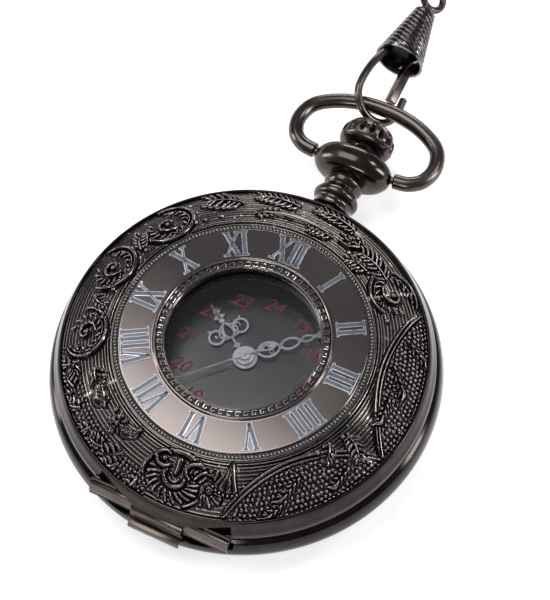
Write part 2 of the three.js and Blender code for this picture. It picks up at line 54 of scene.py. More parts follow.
# ---- dimensions, in millimetres -----------------------------------------------------------------
WINDOW_R = 9.06  # window in the lid
CHAPTER_IN = 10.49  # polished numeral ring
CHAPTER_OUT = 14.5
CHAPTER_Z = 13.7
BEAD_R = 14.86  # row of beads round the numeral ring
RELIEF_IN = 15.3  # scrollwork zone
RELIEF_OUT = 21.4
SEAM_R = 22.6
SEAM_Z = 8.1
CASE_R = 23.5
PENDANT_Z = 6.0
BOW_Y = 31.2
HINGE = {"y": -21.95, "z": SEAM_Z, "r": 0.7, "inner": 3.2, "outer": 8.7}
HINGE_SEAT = {"half": 9.0, "front": -21.1, "floor": 6.9, "notch": 9.3}
BALL = {"r": 5.2, "low": 28.75, "high": 32.95, "flat": 0.7}
BOW = {"wire": 0.98, "end": 5.45, "peg": 0.5, "peg_inner": 4.2}
CROWN = {"base": 33.6, "top": 37.1, "r": 3.6, "cap": 3.0, "flutes": 16}
HOOK = {"x": -1.4, "roll": 40.0, "wire": 0.52, "loop": 3.4, "bottom": 7.6, "mouth": 17.4, "tip": 13.4}
CONE = {"mouth_r": 3.3, "wall": 0.3, "length": 8.5, "slope": 0.21}
GATE = {"top_x": 1.6, "tip_x": 1.75, "wide": 1.3, "half_deep": 0.5, "tip": 11.6}
SWIVEL = {"eye_r": 1.7, "eye_wire": 0.48, "ring_r": 2.6, "ring_wire": 0.42}
DIAL = {"r": 18.4, "hole": 0.85, "low": 7.3, "top": 7.5}
NUMBERS_24 = {"radius": 7.8, "size": 2.3, "slant": 0.32}
NUMBERS_12 = {"radius": 12.9, "size": 3.2, "slant": 0.0}
CRYSTAL = {"r": 18.3, "low": 9.3, "high": 9.9}
LID_GLASS = {"r": 10.3, "low": 12.1, "high": 12.75}
RETAINER = {"inner": 9.3, "outer": 10.35, "low": 10.45, "high": 11.95}
STEM_BORE_R = 1.25
KEY_RING = {"inner": 9.38, "outer": 10.02, "z": 13.56, "keys": 64}
BEAD_RING = {"inner": 14.58, "outer": 15.12, "z": 13.42, "beads": 216}
# each hand: its body, degrees clockwise from 12, and the height of its underside
HANDS = {
    "hour": ("hours", 304.3, 7.86),
    "minute": ("minutes", 47.3, 8.2),
    "seconds": ("seconds", 224.3, 8.54),
}
HAND_THICK = 0.16

# ---- sides of turned pieces, and the angle over which an edge is drawn sharp --------------------
FINE_SIDES = 256
LENS_SIDES = 128
SHARP = 38.0


def relief_z(radius):
    """Height of the lid's dome under the scrollwork."""
    fall = np.clip((np.asarray(radius) - 14.9) / (RELIEF_OUT - 14.9), 0, None)
    return 13.55 - 2.75 * fall**1.6


# ---- camera, light and floor --------------------------------------------------------------------
def look_from(azimuth, elevation):
    """Unit vector from the watch towards a viewer at this azimuth and elevation, in degrees."""
    a, e = math.radians(azimuth), math.radians(elevation)
    return Vector((math.sin(a) * math.cos(e), -math.cos(a) * math.cos(e), math.sin(e)))


CAMERA = {"azimuth": 28.6, "elevation": 61.94, "roll": -3.26, "distance": 192.6, "lens": 99.03, "sensor": 36}
CAMERA_TARGET = Vector((1.23, 5.94, CHAPTER_Z))


def make_camera():
    azimuth, roll = math.radians(CAMERA["azimuth"]), math.radians(CAMERA["roll"])
    back = look_from(CAMERA["azimuth"], CAMERA["elevation"])
    level = Vector((math.cos(azimuth), math.sin(azimuth), 0))
    upright = back.cross(level)
    right = level * math.cos(roll) + upright * math.sin(roll)
    up = upright * math.cos(roll) - level * math.sin(roll)
    data = bpy.data.cameras.new("camera")
    data.lens = CAMERA["lens"]
    data.sensor_width = CAMERA["sensor"]
    data.clip_start, data.clip_end = 0.01, 10
    camera = bpy.data.objects.new("camera", data)
    turn = Matrix((right, up, back)).transposed().to_4x4()
    camera.matrix_world = Matrix.Translation((CAMERA_TARGET + back * CAMERA["distance"]) * MM) @ turn
    bpy.context.scene.collection.objects.link(camera)
    bpy.context.scene.camera = camera


def soft_box(name, direction, distance, size, radiance, colour=(1, 1, 1)):
    """A rectangular area light that faces the watch: distance and size in metres, and how bright it is."""
    data = bpy.data.lights.new(name, "AREA")
    data.shape = "RECTANGLE"
    data.size, data.size_y = size
    data.energy = radiance * math.pi * size[0] * size[1]
    data.color = colour
    light = bpy.data.objects.new(name, data)
    direction = Vector(direction).normalized()
    light.location = direction * distance
    light.rotation_mode = "QUATERNION"
    light.rotation_quaternion = direction.to_track_quat("Z", "Y")
    bpy.context.scene.collection.objects.link(light)


def make_lights():
    soft_box("light_key", (-0.34, 0.03, 0.94), 0.55, (0.34, 0.34), 3.8, (1, 0.985, 0.97))
    soft_box("light_right", (0.85, 0.25, 0.42), 0.6, (0.12, 0.3), 14.0)
    soft_box("light_far", (-0.25, 0.95, 0.35), 0.6, (0.3, 0.08), 12.0)
    soft_box("light_left", (-0.95, -0.25, 0.3), 0.6, (0.1, 0.3), 10.0)
    soft_box("light_near", (0.1, -0.95, 0.5), 0.6, (0.25, 0.08), 12.0)
    soft_box("light_spark", (0.5, 0.5, 0.75), 0.6, (0.09, 0.09), 16.0)
    world = bpy.data.worlds.new("studio")
    world.use_nodes = True
    background = world.node_tree.nodes["Background"]
    background.inputs["Color"].default_value = (0.93, 0.95, 1, 1)
    background.inputs["Strength"].default_value = 0.22
    bpy.context.scene.world = world
    bpy.context.scene.view_settings.view_transform = "Standard"


# ---- materials ----------------------------------------------------------------------------------
class Nodes:
    """Short names for building one material's node tree."""

    def __init__(self, name):
        self.material = bpy.data.materials.new(name)
        self.material.use_nodes = True
        self.tree = self.material.node_tree
        self.shader = self.tree.nodes["Principled BSDF"]
        self.place = self.add("ShaderNodeTexCoord").outputs["Object"]

    def add(self, kind, **settings):
        node = self.tree.nodes.new(kind)
        for key, value in settings.items():
            setattr(node, key, value)
        return node

    def link(self, output, target):
        self.tree.links.new(output, target)

    def noise(self, feature, detail=4.0):
        """Noise whose features are about this many millimetres across."""
        node = self.add("ShaderNodeTexNoise")
        node.inputs["Scale"].default_value = 1 / (feature * MM)
        node.inputs["Detail"].default_value = detail
        node.inputs["Roughness"].default_value = 0.55
        self.link(self.place, node.inputs["Vector"])
        return node.outputs["Fac"]

    def spread(self, value, low, high, to_low, to_high):
        node = self.add("ShaderNodeMapRange")
        for key, number in zip(("From Min", "From Max", "To Min", "To Max"), (low, high, to_low, to_high)):
            node.inputs[key].default_value = number
        self.link(value, node.inputs["Value"])
        return node.outputs["Result"]

    def blend(self, factor, first, second):
        """A colour between two, each a colour or another node's output."""
        node = self.add("ShaderNodeMix", data_type="RGBA")
        self.link(factor, node.inputs[0])
        for socket, value in ((node.inputs[6], first), (node.inputs[7], second)):
            if isinstance(value, tuple):
                socket.default_value = (*value, 1)
            else:
                self.link(value, socket)
        return node.outputs[2]

    def pointed(self, low, high):
        """Rises from 0 to 1 as the surface goes from hollow (under 0.5) to sharp (over 0.5)."""
        return self.spread(self.add("ShaderNodeNewGeometry").outputs["Pointiness"], low, high, 0, 1)

    def bump(self, height, depth):
        """Bumps this many millimetres deep."""
        node = self.add("ShaderNodeBump")
        node.inputs["Distance"].default_value = depth * MM
        self.link(height, node.inputs["Height"])
        self.link(node.outputs["Normal"], self.shader.inputs["Normal"])

    def paint(self, colour, roughness, metallic):
        self.link(colour, self.shader.inputs["Base Color"])
        self.link(roughness, self.shader.inputs["Roughness"])
        self.shader.inputs["Metallic"].default_value = metallic
        return self.material


EDGE = (0.515, 0.6)  # pointedness from where an edge starts to look worn to where it is fully worn
HOLLOW_SHADE_RANGE = (0.42, 0.49)  # pointedness where the painted shade in a hollow is darkest, and where it has faded out
# near-black of the painted shade in hollows, where little light reaches
HOLLOW_SHADE_COLOUR = (0.006, 0.005, 0.005)


def metal(name, dark, light, roughness, feature=0.8, bump=0.002, edge_wear_and_hollow_shade=None):
    """Plated metal: cloudy colour and gloss, fine bumps; given an edge colour, worn edges of that colour and
    painted shade darkening the hollows.
    """
    made = Nodes(name)
    cloud = made.noise(feature * 4)
    grain = made.noise(feature * 0.25, detail=2)
    colour = made.blend(made.spread(cloud, 0.35, 0.65, 0, 1), dark, light)
    if edge_wear_and_hollow_shade:
        colour = made.blend(made.pointed(*EDGE), colour, edge_wear_and_hollow_shade)
        # painted shade: the hollows are darkened towards near-black
        colour = made.blend(made.pointed(*HOLLOW_SHADE_RANGE), HOLLOW_SHADE_COLOUR, colour)
    made.bump(grain, bump)
    gloss = made.spread(cloud, 0.3, 0.7, roughness * 0.8, roughness * 1.25)
    return made.paint(colour, gloss, 1.0)


def coated(name, dark, light, roughness, feature=0.5, bump=0.002, metallic=0.0, gleam=0.5):
    """Paint, plastic or print with a fine grain; gleam is how much it mirrors."""
    made = Nodes(name)
    made.shader.inputs["Specular IOR Level"].default_value = gleam
    grain = made.noise(feature)
    colour = made.blend(made.spread(grain, 0.35, 0.65, 0, 1), dark, light)
    made.bump(grain, bump)
    gloss = made.spread(grain, 0.3, 0.7, roughness * 0.85, roughness * 1.15)
    return made.paint(colour, gloss, metallic)


def glass(name):
    made = Nodes(name)
    smear = made.noise(6.0)
    colour = made.blend(smear, (0.97, 0.98, 1.0), (1.0, 1.0, 1.0))
    made.shader.inputs["Transmission Weight"].default_value = 1.0
    made.shader.inputs["IOR"].default_value = 1.47
    made.shader.inputs["Specular IOR Level"].default_value = 0.03
    return made.paint(colour, made.spread(smear, 0.3, 0.8, 0.0, 0.03), 0.0)


def dial_paint(name):
    """Black lacquer with fine rings round the dial's middle."""
    made = Nodes(name)
    length = made.add("ShaderNodeVectorMath", operation="LENGTH")
    made.link(made.place, length.inputs[0])
    rings = made.add("ShaderNodeTexNoise", noise_dimensions="1D")
    rings.inputs["Scale"].default_value = 1 / (0.25 * MM)
    made.link(length.outputs["Value"], rings.inputs["W"])
    ring = rings.outputs["Fac"]
    colour = made.blend(ring, (0.005, 0.0055, 0.0065), (0.01, 0.0105, 0.012))
    made.bump(ring, 0.0008)
    made.shader.inputs["Specular IOR Level"].default_value = 1.0
    return made.paint(colour, made.spread(ring, 0.3, 0.7, 0.2, 0.26), 0.0)


MATERIALS = {
    "case": metal("gunmetal_case", (0.024, 0.02, 0.019), (0.04, 0.034, 0.032), 0.15, bump=0.0006),
    "chapter": metal("gunmetal_polished", (0.18, 0.156, 0.15), (0.2, 0.175, 0.168), 0.15, 6.0, 0.0001),
    "relief": metal("gunmetal_relief", (0.05, 0.043, 0.041), (0.08, 0.07, 0.067), 0.17, 0.5, 0.0015,
                    (0.4, 0.37, 0.36)),
    # near-black: painted shade laid on the floors of the key and bead channels
    "channel_shade": coated("painted_channel_shade", (0.008, 0.007, 0.007), (0.016, 0.014, 0.014), 0.5),
    # near-black and barely glossy: painted shade for the dark well inside the lid's window
    "well_shade": coated("painted_well_shade", (0.001, 0.001, 0.001), (0.003, 0.003, 0.003), 0.3, gleam=0.1),
    "rim": metal("gunmetal_rim", (0.08, 0.071, 0.068), (0.12, 0.107, 0.103), 0.2, 0.5, 0.001,
                 (0.3, 0.28, 0.27)),
    "wire": metal("gunmetal_wire", (0.085, 0.069, 0.064), (0.12, 0.099, 0.093), 0.25, bump=0.0008),
    "pendant": metal("gunmetal_pendant", (0.06, 0.049, 0.045), (0.09, 0.076, 0.071), 0.2, bump=0.0008),
    "ribbed": metal("gunmetal_ribbed", (0.05, 0.045, 0.043), (0.085, 0.076, 0.072), 0.22,
                    edge_wear_and_hollow_shade=(0.3, 0.28, 0.27)),
    "numeral_edge": metal("numeral_edge", (0.38, 0.4, 0.46), (0.5, 0.52, 0.57), 0.3, 0.3, 0.001),
    "numeral_fill": metal("numeral_fill", (0.1, 0.11, 0.135), (0.15, 0.162, 0.19), 0.4, 0.3, 0.002),
    "hand": coated("hand_silver", (0.8, 0.82, 0.85), (0.92, 0.93, 0.95), 0.38, 0.4, 0.002, 0.35),
    "dial": dial_paint("dial_lacquer"),
    "red": coated("print_red", (0.5, 0.015, 0.06), (0.68, 0.03, 0.1), 0.5),
    "white": coated("print_white", (0.55, 0.57, 0.6), (0.68, 0.7, 0.72), 0.5),
    "glass": glass("mineral_glass"),
    "steel": metal("steel", (0.5, 0.5, 0.51), (0.64, 0.64, 0.65), 0.3, 0.3, 0.002),
    "brass": metal("brass", (0.62, 0.46, 0.2), (0.76, 0.58, 0.3), 0.32, 0.3, 0.002),
    "copper": metal("copper", (0.55, 0.24, 0.12), (0.7, 0.36, 0.2), 0.38, 0.2, 0.004),
    "board": coated("circuit_board_green", (0.02, 0.14, 0.05), (0.04, 0.22, 0.09), 0.5),
    "plastic": coated("black_plastic", (0.02, 0.02, 0.022), (0.04, 0.04, 0.042), 0.55),
}
CARRIED = {"steel": "steel", "brass": "brass", "copper": "copper", "board_green": "board",
           "black_plastic": "plastic", "case_metal": "case", "lid_metal": "case",
           "hand_white": "hand", "dial_black": "dial", "glass_clear": "glass"}


def paint_carried_nodes():
    """Gives every CAD node that stays visible the procedural material of its slot."""
    for part in frame["record"]["subparts"]:
        node = frame["nodes"][part["node"]]
        node.data.materials.clear()
        node.data.materials.append(MATERIALS[CARRIED[part["material_slot"]]])


# ---- shapes: each is (points, faces) in millimetres ---------------------------------------------
def round_angles(count):
    return np.linspace(0, TURN, count, endpoint=False)


def polar(radius, angles):
    """Points at these radii and angles, counted from +X towards +Y."""
    return np.stack([radius * np.cos(angles), radius * np.sin(angles)], -1)


def moved_points(points, x, y):
    return points + np.array([x, y])


def walls(rings, count, closed=False):
    """Faces between neighbouring rings of count points each, and from the last to the first if closed."""
    faces = []
    for i in range(rings if closed else rings - 1):
        here, there = i * count, (i + 1) % rings * count
        for j in range(count):
            k = (j + 1) % count
            faces.append((here + j, there + j, there + k, here + k))
    return faces


def caps(rings, count):
    """Faces that close the first and the last ring."""
    return [tuple(range(count - 1, -1, -1)), tuple((rings - 1) * count + j for j in range(count))]


def box_outline(inner, outer, low, high):
    """The outline of a flat ring, or of a disc where inner is 0."""
    return [(inner, low), (outer, low), (outer, high), (inner, high)]


def turned(outline, sides=160, wave=None):
    """A turned solid about Z from a closed (radius, height) outline. wave scales each radius."""
    profile = np.asarray(outline, float)
    angles = round_angles(sides)[:, None]
    radius, height = profile[None, :, 0], profile[None, :, 1]
    scale = 1.0 if wave is None else wave(angles, radius, height)
    points = np.stack(np.broadcast_arrays(
        radius * scale * np.cos(angles), radius * scale * np.sin(angles), height), -1).reshape(-1, 3)
    return points, walls(sides, len(profile), True)


def along_y(shape, z=0.0):
    """Turns a shape made about Z so that its axis runs along +Y at height z."""
    points, faces = shape
    return np.stack([points[:, 0], points[:, 2], z - points[:, 1]], -1), faces


def softened(outline, radius, steps=3):
    """The closed outline with each corner off the axis rounded, and its flat stretches kept flat."""
    corners = [Vector(p) for p in outline]
    result = []
    for i, corner in enumerate(corners):
        before, after = corners[i - 1] - corner, corners[(i + 1) % len(corners)] - corner
        if corner.x < 1e-6:
            result.append(corner)
            continue
        start = corner + before.normalized() * min(radius, 0.4 * before.length)
        end = corner + after.normalized() * min(radius, 0.4 * after.length)
        if before.length > 5 * radius:
            result.append(corner + before.normalized() * 2 * radius)
        for k in range(steps + 1):
            t = k / steps
            result.append((1 - t) ** 2 * start + 2 * t * (1 - t) * corner + t * t * end)
        if after.length > 5 * radius:
            result.append(corner + after.normalized() * 2 * radius)
    return [tuple(p) for p in result]


def spline(points, samples, closed=False):
    """A smooth curve through points, with this many samples for each span."""
    p = np.asarray(points, float)
    if closed:
        p = np.concatenate([p[-1:], p, p[:2]])
    else:
        p = np.concatenate([2 * p[:1] - p[1:2], p, 2 * p[-1:] - p[-2:-1]])
    result = []
    for i in range(1, len(p) - 2):
        for t in np.arange(samples) / samples:
            a, b, c, d = p[i - 1], p[i], p[i + 1], p[i + 2]
            result.append(0.5 * (2 * b + (c - a) * t + (2 * a - 5 * b + 4 * c - d) * t**2
                                 + (3 * b - a - 3 * c + d) * t**3))
    if not closed:
        result.append(p[-2])
    return np.array(result)


def round_section(radius, sides):
    return polar(radius, round_angles(sides))


def bar_section(width, low, high, bevel):
    """A flat bar's section, bevelled along its top edges: across, and up from the path."""
    w = width / 2
    return np.array([(-w, low), (w, low), (w, high - bevel), (w - bevel, high),
                     (bevel - w, high), (-w, high - bevel)])


def swept(path, section, closed=False, sizes=None):
    """A section swept along a path that lies in a plane of constant Z."""
    path = np.asarray(path, float)
    if path.shape[1] == 2:
        path = np.column_stack([path, np.zeros(len(path))])
    ahead = np.roll(path, -1, 0) - path
    behind = path - np.roll(path, 1, 0)
    tangent = ahead + behind
    if not closed:
        tangent[0], tangent[-1] = ahead[0], behind[-1]
    tangent /= np.linalg.norm(tangent, axis=1)[:, None]
    across = np.stack([-tangent[:, 1], tangent[:, 0], np.zeros(len(path))], -1)
    sizes = np.ones(len(path)) if sizes is None else np.asarray(sizes, float)
    section = np.asarray(section, float)
    side = section[None, :, 0] * sizes[:, None]
    rise = np.broadcast_to(section[None, :, 1], side.shape)
    points = path[:, None] + side[..., None] * across[:, None] + rise[..., None] * np.array([0, 0, 1.0])
    faces = walls(len(path), len(section), closed)
    return points.reshape(-1, 3), faces if closed else faces + caps(len(path), len(section))


def wire(path, radius, closed=False, sides=20, chamfer=0.12):
    """A round wire with lightly chamfered ends."""
    path = np.asarray(path, float)
    if closed:
        return swept(path, round_section(radius, sides), True)
    first = path[0] + unit(path[1] - path[0]) * chamfer
    last = path[-1] + unit(path[-2] - path[-1]) * chamfer
    path = np.concatenate([path[:1], [first], path[1:-1], [last], path[-1:]])
    points, faces = swept(path, round_section(radius, sides))
    grid = points.reshape(len(path), sides, 3)
    for end in (0, -1):
        centre = grid[end].mean(0)
        grid[end] = centre + (grid[end] - centre) * (1 - chamfer / radius)
    return grid.reshape(-1, 3), faces


def unit(vector):
    return vector / np.linalg.norm(vector)


def block(x0, x1, y0, y1, z0, z1):
    points = np.array([(x, y, z) for x in (x0, x1) for y in (y0, y1) for z in (z0, z1)], float)
    return points, [(0, 1, 3, 2), (4, 6, 7, 5), (0, 4, 5, 1), (2, 3, 7, 6), (0, 2, 6, 4), (1, 5, 7, 3)]


def bar_along_x(x0, x1, section):
    """A bar along X from a closed (y, z) section."""
    points = np.array([(x, y, z) for x in (x0, x1) for y, z in section], float)
    return points, walls(2, len(section)) + caps(2, len(section))


def moved(shape, x=0.0, y=0.0, z=0.0):
    return shape[0] + np.array([x, y, z]), shape[1]


def turned_round(shape, degrees, axis="Z"):
    matrix = np.array(Matrix.Rotation(math.radians(degrees), 3, axis))
    return shape[0] @ matrix.T, shape[1]


def combined(shapes):
    start, all_faces = 0, []
    for points, faces in shapes:
        all_faces.extend(tuple(start + corner for corner in face) for face in faces)
        start += len(points)
    return np.concatenate([points for points, _ in shapes]), all_faces


# ---- pieces -------------------------------------------------------------------------------------
def piece(name, shape, material, body, slot, replaces=(), sharp=SHARP, bevel=0.0, cutters=()):
    """Makes a named piece of the visual model from a shape, or from several of them."""
    points, faces = combined(shape) if isinstance(shape, list) else shape
    mesh = mesh_from(name, points, faces)
    if cutters:
        mesh = carved(mesh, cutters)
    if bevel:
        mesh = bevelled(mesh, bevel)
    finished(name, mesh, material, body, replaces, sharp)


def mesh_from(name, points, faces):
    mesh = bpy.data.meshes.new(name)
    mesh.from_pydata((np.asarray(points) * MM).tolist(), [], faces)
    work = bmesh.new()
    work.from_mesh(mesh)
    bmesh.ops.remove_doubles(work, verts=work.verts, dist=1e-4 * MM)
    bmesh.ops.recalc_face_normals(work, faces=work.faces)
    work.to_mesh(mesh)
    work.free()
    return mesh


def modified(mesh, add_modifiers):
    """The mesh with modifiers applied."""
    holder = bpy.data.objects.new("holder", mesh)
    bpy.context.scene.collection.objects.link(holder)
    add_modifiers(holder)
    graph = bpy.context.evaluated_depsgraph_get()
    result = bpy.data.meshes.new_from_object(holder.evaluated_get(graph))
    result.name = mesh.name
    bpy.data.objects.remove(holder)
    return result


def carved(mesh, cutters):
    tools = []

    def add_modifiers(holder):
        for cutter in cutters:
            tool = bpy.data.objects.new("cutter", mesh_from("cutter", *cutter))
            bpy.context.scene.collection.objects.link(tool)
            modifier = holder.modifiers.new("cut", "BOOLEAN")
            modifier.operation = "DIFFERENCE"
            modifier.object = tool
            tools.append(tool)

    result = modified(mesh, add_modifiers)
    for tool in tools:
        bpy.data.objects.remove(tool)
    return result


def bevelled(mesh, width):
    def add_modifiers(holder):
        modifier = holder.modifiers.new("bevel", "BEVEL")
        modifier.width = width * MM
        modifier.segments = 2
        modifier.limit_method = "ANGLE"
        modifier.angle_limit = math.radians(40)

    return modified(mesh, add_modifiers)


def finished(name, mesh, material, body, replaces=(), sharp=SHARP):
    mesh.shade_smooth()
    mesh.set_sharp_from_angle(angle=math.radians(sharp))
    mesh.materials.clear()
    mesh.materials.append(MATERIALS[material])
    made = bpy.data.objects.new(name, mesh)
    bpy.context.scene.collection.objects.link(made)
    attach(made, body)
    if replaces:
        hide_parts(*replaces)


# ---- case ---------------------------------------------------------------------------------------
def make_case():
    back = [(0, 0), (10, 0), (14, 0.35), (18, 1.2), (20.8, 2.4), (22.45, 3.55), (SEAM_R, 3.9), (21.6, 3.9),
            (21, 3.7), (19.8, 2.9), (17.4, 1.9), (13.8, 1.05), (10, 0.7), (0, 0.7)]
    piece("back_cover_shell", turned(softened(back, 0.5, 4)), "case", "case", "case_metal", ["back_cover"])
    side = CASE_R - 0.35
    bulge = [(SEAM_R, 4.0), (side, 4.55), (CASE_R, 5.6), (CASE_R, 6.4), (side, 7.5), (SEAM_R, 8.05)]
    band = [tuple(p) for p in spline(bulge, 5)] + [(19.5, 8.05), (19.5, 4.9), (21.8, 4.9), (21.8, 4.0)]
    seat = block(-HINGE_SEAT["half"], HINGE_SEAT["half"], -30, HINGE_SEAT["front"], HINGE_SEAT["floor"], 12)
    cutters = [seat, block(-3, 3, 19, 21.5, 4.4, 9),
               along_y(turned(box_outline(0, STEM_BORE_R, 18, 26), 32), PENDANT_Z)]
    piece("case_band", turned(band, 192), "case", "case", "case_metal", ["case_middle"], cutters=cutters)


def ribbed_barrel(x0, x1, ribs):
    """A hinge barrel along X with sharp ridges along its length."""
    angles = round_angles(90)
    radius = HINGE["r"] - 0.13 * np.abs(np.sin(0.5 * ribs * angles)) ** 0.7
    return bar_along_x(x0, x1, moved_points(polar(radius, angles), HINGE["y"], HINGE["z"]))


def make_hinge():
    inner, outer, y, z = HINGE["inner"], HINGE["outer"], HINGE["y"], HINGE["z"]
    rear, top = HINGE_SEAT["front"] - 0.15, HINGE_SEAT["notch"] - 0.15
    for side, x0, x1 in (("left", -outer, -inner - 0.1), ("right", inner + 0.1, outer)):
        ridges = bar_along_x(x0, x1, [
            (y, z + 0.15), (rear, z + 0.15), (rear, top + 0.7), (rear - 0.22, top + 0.8),
            (rear - 0.4, top + 0.4), (rear - 0.6, top + 0.55), (rear - 0.85, top + 0.35), (rear - 0.95, top),
            (rear - 1.2, top - 0.3), (y - 0.6, z + 0.3)])
        web = block(x0, x1, rear - 0.2, rear + 0.75, top - 0.1, top + 0.1)
        shapes = [ribbed_barrel(x0, x1, 8), ridges, web]
        knuckle = f"lid_knuckle_{side}"
        piece(f"lid_hinge_bar_{side}", shapes, "wire", "lid", "lid_metal", [knuckle], bevel=0.03)
    ledge = bar_along_x(-inner, inner, [
        (-21.3, 7.0), (-21.3, 7.5), (-22.6, 7.5), (-22.85, 7.1), (-23.25, 7.24), (-23.8, 7.15),
        (-23.95, 6.9), (-23.95, 6.3), (-23.62, 6.25), (-23.6, 7.0)])
    facet = bar_along_x(-inner, inner, [
        (y + 0.3, z + 0.95), (y - 0.2, z + 0.98), (y - 0.6, z + 0.72), (y - 0.7, z + 0.58),
        (y - 0.88, z + 0.62), (y - 1.0, z + 0.4), (y - 0.9, z + 0.22), (y - 1.04, z + 0.1),
        (y - 1.0, z - 0.2), (y - 0.9, z - 0.62), (y + 0.7, z - 0.62), (y + 0.7, z + 0.35)])
    piece("case_hinge_block", [ledge, facet], "wire", "case", "case_metal", ["case_knuckle"], bevel=0.03)


# ---- lid ----------------------------------------------------------------------------------------
def make_lid_body():
    face = [(WINDOW_R, 12.9), (WINDOW_R, 13.6), (9.16, 13.84), (9.3, 13.84), (9.36, 13.56), (10.04, 13.56),
            (10.1, 13.84), (10.24, 13.97), (10.42, 13.92), (CHAPTER_IN, CHAPTER_Z), (14.46, CHAPTER_Z),
            (14.54, 13.62), (14.56, 13.42), (15.14, 13.42), (15.16, 13.56), (15.3, 13.56), (15.3, 12.9)]
    piece("lid_face", turned(softened(face, 0.08), FINE_SIDES), "chapter", "lid", "lid_metal", ["front_lid"])
    bed = [(r, float(relief_z(r)) - 0.5) for r in (15.2, 17, 19, 20.6, 21.3)]
    shell = bed + [(21.36, 10.75), (21.5, 11.0), (21.72, 10.98), (21.95, 10.55), (22.2, 9.9), (22.5, 9.25),
                   (SEAM_R, 8.7), (SEAM_R, 8.15), (21.9, 8.15), (21.7, 8.9), (20.6, 9.9), (17.5, 11.5),
                   (14.5, 12.5), (11.2, 12.6), (11.2, 11.3), (10.45, 11.3), (10.45, 12.85), (9.2, 12.85),
                   (9.2, 12.95), (15.2, 12.95)]
    half, front, top = HINGE_SEAT["half"], HINGE_SEAT["front"], HINGE_SEAT["notch"]
    notch = block(-half, half, -30, front, 6, top)
    dished = turned(softened(shell, 0.12), FINE_SIDES)
    piece("lid_shell", dished, "case", "lid", "lid_metal", cutters=[notch])
    lens = softened(box_outline(0, LID_GLASS["r"], LID_GLASS["low"], LID_GLASS["high"]), 0.1)
    piece("lid_window_glass", turned(lens, LENS_SIDES), "glass", "lid", "glass_clear", ["lid_glass"])
    ring = box_outline(RETAINER["inner"], RETAINER["outer"], RETAINER["low"], RETAINER["high"])
    retainer = turned(softened(ring, 0.1), LENS_SIDES)
    # the real retainer ring, coloured near-black to paint the shade in the window's well
    piece("lid_window_retainer", retainer, "well_shade", "lid", "lid_metal", ["lid_glass_ring"])


def dome(radius, height, sides=8, rows=3):
    """A small round bead that stands on z = 0."""
    points = []
    for up in np.linspace(0, math.pi / 2, rows, endpoint=False):
        ring = round_section(radius * math.cos(up), sides)
        points += [(x, y, height * math.sin(up)) for x, y in ring]
    points.append((0, 0, height))
    last = (rows - 1) * sides
    tip = [(last + (j + 1) % sides, last + j, last + sides) for j in range(sides)]
    return np.array(points), walls(rows, sides) + tip


def round_the_dial(shape, radius, angle, z):
    """A shape whose +Y points outwards, moved to this radius and clockwise angle from 12."""
    return turned_round(moved(shape, 0, radius, z), -angle)


def make_borders():
    beads, keys = BEAD_RING["beads"], KEY_RING["keys"]
    points, faces = dome(0.19, 0.24)
    bead = turned_round((points * np.array([0.92, 1.25, 1]), faces), 24)
    ring = [round_the_dial(bead, BEAD_R, i * 360 / beads, BEAD_RING["z"] - 0.02) for i in range(beads)]
    piece("bead_ring", ring, "rim", "lid", "lid_metal", sharp=60)
    # thin near-black sheets on the channel floors paint the shade between the keys and between the beads
    for name, ring in (("key_channel_shade", KEY_RING), ("bead_channel_shade", BEAD_RING)):
        ground = box_outline(ring["inner"], ring["outer"], ring["z"] - 0.02, ring["z"] + 0.015)
        piece(name, turned(ground, FINE_SIDES), "channel_shade", "lid", "lid_metal")
    section = bar_section(0.13, 0.0, 0.3, 0.04)
    turns = [((-0.4, -0.26), (0.26, -0.26)), ((0.2, -0.3), (0.2, 0.28)), ((0.26, 0.24), (-0.2, 0.24)),
             ((-0.14, 0.28), (-0.14, 0.0))]
    key = combined([swept(ends, section) for ends in turns])
    middle = (KEY_RING["inner"] + KEY_RING["outer"]) / 2
    border = [round_the_dial(key, middle, i * 360 / keys, KEY_RING["z"]) for i in range(keys)]
    piece("key_border", border, "rim", "lid", "lid_metal")


# ---- numerals -----------------------------------------------------------------------------------
NUMERALS = ["XII", "I", "II", "III", "IIII", "V", "VI", "VII", "VIII", "IX", "X", "XI"]
NUMERAL_H = 3.15
THICK, THIN, SERIF = 0.5, 0.22, 0.18


def letter_strokes(letter):
    """Strokes of one Roman letter as (start, end, width), and the letter's width."""
    top, foot = NUMERAL_H / 2, -NUMERAL_H / 2
    if letter == "I":
        return [((0, foot), (0, top), THICK), serif(0, foot, 0.84), serif(0, top, 0.84)], 0.95
    if letter == "V":
        strokes = [((-0.62, top), (0, foot), THICK), ((0.62, top), (0.05, foot), THIN * 1.3)]
        return strokes + [serif(-0.66, top, 0.8), serif(0.64, top, 0.7)], 1.85
    strokes = [((-0.68, top), (0.68, foot), THICK), ((0.68, top), (-0.68, foot), THIN)]
    return strokes + [serif(side * 0.68, end, 0.72) for side in (-1, 1) for end in (top, foot)], 2.0


def serif(x, y, width):
    return (x - width / 2, y), (x + width / 2, y), SERIF


def numeral_bars(text, grow, low, high, bevel):
    letters = [letter_strokes(letter) for letter in text]
    x = -sum(width for _, width in letters) / 2
    bars = []
    for strokes, width in letters:
        x += width / 2
        for start, end, thick in strokes:
            a, b = Vector(start), Vector(end)
            reach = (b - a).normalized() * grow
            path = [tuple(a - reach + Vector((x, 0))), tuple(b + reach + Vector((x, 0)))]
            bars.append(swept(path, bar_section(thick + 2 * grow, low, high, bevel)))
        x += width / 2
    return combined(bars)


